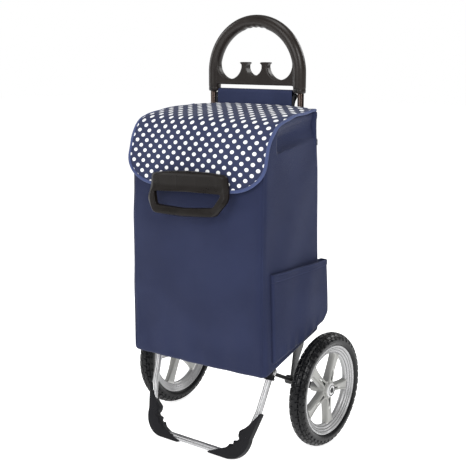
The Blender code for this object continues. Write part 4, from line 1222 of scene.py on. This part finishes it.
def make_back_panel():
    front = [(0.0853, z) for z in np.linspace(0.560, 0.862, 60)]
    loop = arc((0.0925, 0.8815), (0.0066, 0.0060), 180, 0, 16).tolist()
    rear = [(0.0995, z) for z in np.linspace(0.874, 0.866, 4)]
    rear += [(0.0965, 0.860), (0.0915, 0.854), (0.0885, 0.848), (0.0882, 0.838)]
    path = eased(evened(front + loop + rear, 150), 3)

    def wave(x, v):
        fade = smooth_step(0.02, 0.08, v) * (1 - smooth_step(0.25, 0.30, v))
        return 0.0006 * np.sin(TAU * (x / 0.21 + 0.8 * v)) * fade

    rings, cloth = ribbon(path, PANEL_HALF, 0.0, 0.0018, 60, wave)
    # the panel wears the brightened navy copy, painted light in place of the light it gets too
    # little of
    panel = Shell().grid(rings, uv=cloth).make("panel", "navy_panel_painted_light", "root", "navy_fabric",
                                               "back_panel", 50)
    lines = [[(x, 0.0838, z) for x in np.linspace(-0.114, 0.114, 30)] for z in (0.8455, 0.8490)]
    make_stitches("panel_stitches", "root", "navy_fabric",
                  [(line, [(0, -1, 0)] * len(line)) for line in lines])
    rod = band(-0.1280, 0.1280, 0.0003, 0.004, 0.001, 3, False)
    make_turned("hanger", "black_steel", "root", "black_steel", "hanger_rod", rod, ROD, 32)
    for side, s in SIDES:
        path = [(0.0848, z) for z in np.linspace(0.560, 0.862, 40)]
        path += [(0.0862, 0.868)] + arc(ROD[1:], 0.0064, 175, -60, 16).tolist()
        path += [(0.0925, 0.8620), (0.0885, 0.855), (0.0874, 0.845), (0.0872, 0.835)]
        rings, cloth = ribbon(eased(evened(path, 110), 2), 0.0032, s * STRAP_X, 0.0014, 6)
        Shell().grid(rings, uv=cloth).make(f"strap_{side}", "webbing", "root", "webbing",
                                           f"hang_strap_{side}", 50)


# ---- lid

LID_HALF = 0.213
LID_PATH = ((0.0790, 0.8478), (0.0300, 0.8415), (-0.0300, 0.8335), (-0.0800, 0.8250),
            (-0.1080, 0.8160), (-0.1260, 0.7990), (-0.1420, 0.7700), (-0.1550, 0.7250),
            (-0.1625, 0.6840), (-0.1650, 0.6600))
FLAP_CORNER = (0.100, 0.072)  # across and up, of the flap's two round corners
REAR_ROUND = 0.008  # how far the lid's rear corners are rounded
REAR_NARROW, NARROW_REACH = 0.016, 0.17  # the lid draws in on each side towards its rear
TOP_LIFT, UNDER_LIFT = 0.0026, 0.0006  # the lid's two faces above its inner line


def lid_line():
    """The lid's inner line as (y, z) at even steps, its bend softened, with outward normals."""
    line = eased(evened(LID_PATH, 400), 150)
    line = evened(line, 400)
    reach = np.linspace(0, distances(line)[-1], 400)
    return line, outward(line), reach


LINE, LINE_OUT, LINE_REACH = lid_line()  # places, outward normals, distances from the rear
LID_LENGTH = float(LINE_REACH[-1])


def lid_half(reach):
    """Half width of the lid where its line has run this far."""
    z = np.interp(reach, LINE_REACH, LINE[:, 1])
    rise = np.clip((z - LID_PATH[-1][1]) / FLAP_CORNER[1], 0, 1)
    half = LID_HALF - FLAP_CORNER[0] * (1 - np.sqrt(1 - (1 - rise) ** 2))
    rear = np.clip(1 - np.asarray(reach) / REAR_ROUND, 0, 1)
    half = half - REAR_NARROW * (1 - smooth_step(0.0, NARROW_REACH, reach))
    return half - REAR_ROUND * (1 - np.sqrt(1 - rear ** 2))


def flap_corner(steps):
    """The flap's round corner from its upper end down, as places across and along the cloth."""
    turn = np.linspace(0, math.pi / 2, steps)
    z = LID_PATH[-1][1] + FLAP_CORNER[1] * (1 - np.sin(turn))
    across = LID_HALF - FLAP_CORNER[0] * (1 - np.cos(turn))
    return across, np.interp(-z, -LINE[:, 1], LINE_REACH)


def lid_droop(x, y):
    """How far the lid's rear corners hang below its middle."""
    return 0.0095 * np.clip(np.abs(x) / LID_HALF, 0, 1) ** 3 * smooth_step(-0.06, 0.075, y)


def lid_point(x, reach, lift=0.0):
    """A point on the lid, in metres across and along the cloth, lifted off its inner line."""
    x, reach = np.broadcast_arrays(np.asarray(x, float), np.asarray(reach, float))
    line, out = (values_at(reach, LINE_REACH, rows) for rows in (LINE, LINE_OUT))
    top = 1 - smooth_step(0.185, 0.255, reach)  # 1 on the lid's top, 0 on its hanging flap
    share = np.clip(np.abs(x) / LID_HALF, 0, 1)
    crown = 0.0050 * (1 - share ** 2) * (0.35 + 0.65 * top)
    crown -= 0.0032 * smooth_step(0.90, 1.0, share) * top * smooth_step(0.0, 0.05, reach)
    crown += 0.0010 * np.sin(TAU * (x / 0.19 + 0.7 * reach / 0.35)) * (0.3 + 0.7 * top)
    crown += 0.0014 * np.sin(TAU * reach / 0.13 + 2.2 * x / 0.2) * share ** 2
    crown = np.maximum(crown, -0.0022) * smooth_step(0.0, 0.035, reach)
    lift = lift + crown - lid_droop(x, line[..., 0])
    return np.concatenate([x[..., None], line + out * lift[..., None]], -1)


def lid_normal(x, reach):
    a, b = lid_point(x + 0.001, reach), lid_point(x - 0.001, reach)
    c, d = lid_point(x, reach + 0.001), lid_point(x, reach - 0.001)
    normal = np.cross(c - d, a - b)
    normal /= np.linalg.norm(normal, axis=-1)[..., None]
    out = values_at(reach, LINE_REACH, LINE_OUT)
    return normal * np.sign(np.sum(normal[..., 1:] * out, -1))[..., None]


def lid_edge(inset):
    """The lid's edge from its rear right round the flap to its rear left, as (x, reach)."""
    corner_x, corner = flap_corner(40)
    right = [(LID_HALF - REAR_ROUND * (1 - math.sin(a)), REAR_ROUND * (1 - math.cos(a)) + 0.0008)
             for a in np.linspace(0.25, math.pi / 2, 12)]
    right += [(LID_HALF, r) for r in np.linspace(0.012, corner[0] - 0.003, 90)]
    right = [(x - REAR_NARROW * (1 - float(smooth_step(0.0, NARROW_REACH, r))), r)
             for x, r in right]
    right += list(zip(corner_x, corner))
    right += [(x, LID_LENGTH) for x in np.linspace(corner_x[-1] - 0.004, 0, 24)]
    right = np.array(right)
    edge = evened(np.vstack([right, (right * (-1, 1))[::-1][1:]]), 520)
    inward = -outward(edge)
    inward *= np.sign(np.sum(inward * (np.array((0.0, 0.15)) - edge), 1))[:, None]
    return edge + inward * inset, inward


def make_lid():
    corner = flap_corner(30)[1]
    reaches = np.concatenate([np.linspace(0, REAR_ROUND, 9),
                              np.linspace(REAR_ROUND, corner[0], 96)[1:],
                              corner[1:-1], [LID_LENGTH - 0.0004]])
    columns = 110
    t = there_and_back(columns)
    lift = np.repeat((TOP_LIFT, UNDER_LIFT), columns)
    under = np.repeat((0.0, PLAIN_FACE), columns)
    print_at = np.cumsum(np.concatenate([[0], np.diff(reaches) * (
        0.66 + 0.34 * smooth_step(0.15, 0.24, reaches[1:]))]))
    rings, cloth = [], []
    for reach, v in zip(reaches, print_at):
        x = t * float(lid_half(reach)) * 0.999
        rings.append(lid_point(x, reach, lift))
        cloth.append(np.column_stack([x + under, np.full(len(x), v)]))
    flap = Shell().grid(rings, uv=np.array(cloth)).make(
        "lid", "navy_dots", "lid", "dotted_fabric", "lid_flap", 50)
    tape_along(*lid_edge(0.0030), 0.0041, 0.0027).make("lid_binding", "binding", "lid",
                                                       "dotted_fabric")
    x, reach = lid_edge(0.0060)[0].T
    make_stitches("lid_stitches", "lid", "dotted_fabric",
                  [(lid_point(x, reach, 0.0040), lid_normal(x, reach))])


def make_lid_hinge():
    """The cloth hinge: sewn into the bag's rear wall, then forward under the lid."""
    rear = slice(3, 75)  # the ring's points along the rear wall, without its outer corners
    half_thick = 0.0004
    lines = [bag_ring(BAG_RIM_H - down, 0.0015)[rear] for down in (0.020, 0.015, 0.010, 0.005)]
    for forward in (0.0, 0.002, 0.004, 0.006, 0.008, 0.010, 0.012, 0.014, 0.017, 0.021):
        line = lines[3].copy()
        line[:, 1] -= forward
        line[:, 2] = (np.interp(-line[:, 1], -LINE[:, 0], LINE[:, 1]) - 0.0012
                      - lid_droop(line[:, 0], line[:, 1]))
        lines.append(line)
    middle = np.array(lines)
    out = np.cross(np.gradient(middle, axis=0), np.gradient(middle, axis=1))
    out /= np.linalg.norm(out, axis=2)[..., None]
    half = np.full((len(lines), 1, 1), half_thick)
    half[[0, -1]] = 0.0
    half = np.insert(half, (1, -1), half_thick, 0)
    middle, out = (np.insert(grid, (1, -1), grid[[0, -1]], 0) for grid in (middle, out))
    rings = np.concatenate([middle + half * out, (middle - half * out)[:, ::-1]], 1)
    bend = ("root", "lid", (0, 0.0785, 0.84), (0, 0.0680, 0.84))
    hinge = Shell(1e-6).grid(rings, caps=False).make("lid_hinge", "navy", bend, "navy_fabric",
                                                     None, 50)


def tape_along(edge, inward, half, thick):
    """A folded binding tape round the lid's edge: a flattened oval in the cloth's own frame."""
    middle = (TOP_LIFT + UNDER_LIFT) / 2
    points = lid_point(*edge.T, middle)
    side = lid_point(*(edge + inward * 0.001).T, middle) - points
    side /= np.linalg.norm(side, axis=1)[:, None]
    normal = lid_normal(*edge.T)
    a = np.linspace(0, TAU, 20, endpoint=False)
    across = half * np.sign(np.cos(a)) * np.abs(np.cos(a)) ** 0.7
    through = thick * np.sign(np.sin(a)) * np.abs(np.sin(a)) ** 0.8
    rings = (points[:, None] + side[:, None] * across[None, :, None]
             + normal[:, None] * through[None, :, None])
    return Shell().grid(rings)


GRAB_TILT, GRAB_MIDDLE_Z = math.radians(2.4), 0.650
GRAB_FACE = 0.0112  # how far the handle's face stands in front of its back
GRAB_OUTER = ((0.0, 0.7040), (0.060, 0.7020), (0.108, 0.6970), (0.1155, 0.6920), (0.1235, 0.6420),
              (0.1215, 0.6330), (0.0990, 0.6045), (0.0900, 0.6010), (0.0, 0.5975))
GRAB_INNER = ((0.0, 0.6545), (0.0990, 0.6530), (0.1030, 0.6490), (0.0900, 0.6255),
              (0.0850, 0.6220), (0.0, 0.6175))


def askew(x, z):
    """The grab handle hangs a little higher on the right."""
    c, q = math.cos(GRAB_TILT), math.sin(GRAB_TILT)
    return c * x - q * (z - GRAB_MIDDLE_Z), GRAB_MIDDLE_Z + q * x + c * (z - GRAB_MIDDLE_Z)


def ray_outline(right_half, steps, radius):
    """A mirrored, rounded outline sampled along rays from its middle."""
    middle, reach = 0.640, (0.110, 0.045)
    corners = np.array(list(right_half) + [(-x, z) for x, z in right_half[::-1] if x])
    corners = rounded(corners, radius, 6) - (0, middle)
    a = np.linspace(0, TAU, steps, endpoint=False)
    ways = np.stack([np.cos(a), np.sin(a)], -1) * reach
    x, z = (corners / reach).T
    bearing = np.arctan2(z, x) % TAU
    order = np.argsort(bearing)
    keys, scale = bearing[order], np.hypot(x, z)[order]
    keys = np.concatenate([keys[-1:] - TAU, keys, keys[:1] + TAU])
    scale = np.concatenate([scale[-1:], scale, scale[:1]])
    x, z = scale * np.cos(keys), scale * np.sin(keys)
    k = np.clip(np.searchsorted(keys, a, side="right"), 1, len(keys) - 1)
    dx, dz = x[k] - x[k - 1], z[k] - z[k - 1]
    along = (x[k - 1] * dz - z[k - 1] * dx) / (np.cos(a) * dz - np.sin(a) * dx)
    return ways * along[:, None] + (0, middle)


def make_grab_handle():
    steps = 260

    def forward(x, z):
        drop = smooth_step(0.0, 1.0, (0.672 - z) / 0.070)
        return -0.1690 - 0.0195 * drop - 0.0050 * (1 - (x / 0.125) ** 2)

    outer = ray_outline(GRAB_OUTER, steps, 0.006)
    inner = ray_outline(GRAB_INNER, steps, 0.005)
    apart = np.linalg.norm(inner - outer, axis=1)
    side = np.clip(np.abs(outer[:, 0]) / 0.118, 0, 1) ** 8
    bevel, lip = (0.0030 + 0.0065 * side) / apart, 1 - 0.0022 / apart
    stages = [(bevel * k, deep) for k, deep in
              ((0, 0.0), (0, 0.0045), (0, 0.0060), (0.5, 0.0088), (1, 0.0108))]
    stages += [(bevel + (lip - bevel) * k, GRAB_FACE) for k in np.linspace(0.02, 0.98, 22)]
    stages += [(1 - inset / apart, deep) for inset, deep in
               ((0.0016, 0.0106), (0.0004, 0.0094), (0.0, 0.0080), (0.0, 0.0))]
    rings = []
    for share, depth in stages:
        flat = outer + (inner - outer) * np.clip(share, 0, 1)[:, None]
        deep = np.full(steps, depth)
        if depth == GRAB_FACE:  # a sunk plate between two ribs
            x, z = flat.T
            reach = np.minimum(np.minimum(0.090 - np.abs(x), z - 0.6615), 0.6955 - z)
            deep -= 0.0007 * smooth_step(-0.0002, 0.0012, reach)
            rib = np.abs(np.abs(x) - 0.030)
            deep += 0.0006 * (1 - smooth_step(0.0006, 0.0016, rib)) * (reach > 0.001)
        worn_x, worn_z = askew(*flat.T)
        rings.append(np.column_stack([worn_x, forward(*flat.T) - deep, worn_z]))
    Shell().grid(rings, True, True).make("grab", "grained", "lid", "handle_plastic",
                                         "grab_handle", 38)
    backing = Shell().grid(slab([(-0.095, 0.664), (0.095, 0.664), (0.095, 0.692),
                                 (-0.095, 0.692)], 0, 0.002, "y", 0.0005))
    for points in backing.points:
        points[:, 1] += np.interp(-points[:, 2], [-b for _, b in LID_PATH],
                                  [a for a, _ in LID_PATH]) + 0.0005
    backing.make("backing", "board", "lid", "stiffener", "handle_backing_plate")
    for side, s in SIDES:
        low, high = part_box(f"handle_rivet_{side}")
        head = pin(1, low[1] + 0.0002, high[1] - 0.0014, 0.0020, 0.0042, high[1], 0.0010)
        x, z = askew(s * 0.075, 0.678)
        make_turned(f"grab_rivet_{side}", "steel", "lid", "bright_steel",
                    f"handle_rivet_{side}", head, (x, 0, z), 32, axis="y")


# ---- kept nodes and the whole


KEPT = {"inner_tube_left": "tyre", "inner_tube_right": "tyre", "hub_bush_left": "steel",
        "hub_bush_right": "steel", "base_board": "board"}


def dress_kept_nodes():
    for node, look in KEPT.items():
        for slot in bpy.data.objects[node].material_slots:
            slot.material = MATERIALS[look]


make_camera()
make_studio()
for name, sign in SIDES:
    make_wheel(name, sign)
    make_lower_side(name, sign)
    make_side_pocket(name, sign)
make_crossbars()
make_foot()
make_handle()
make_bag()
make_rear_pocket()
make_back_panel()
make_lid()
make_lid_hinge()
make_grab_handle()
dress_kept_nodes()

bpy.context.view_layer.update()
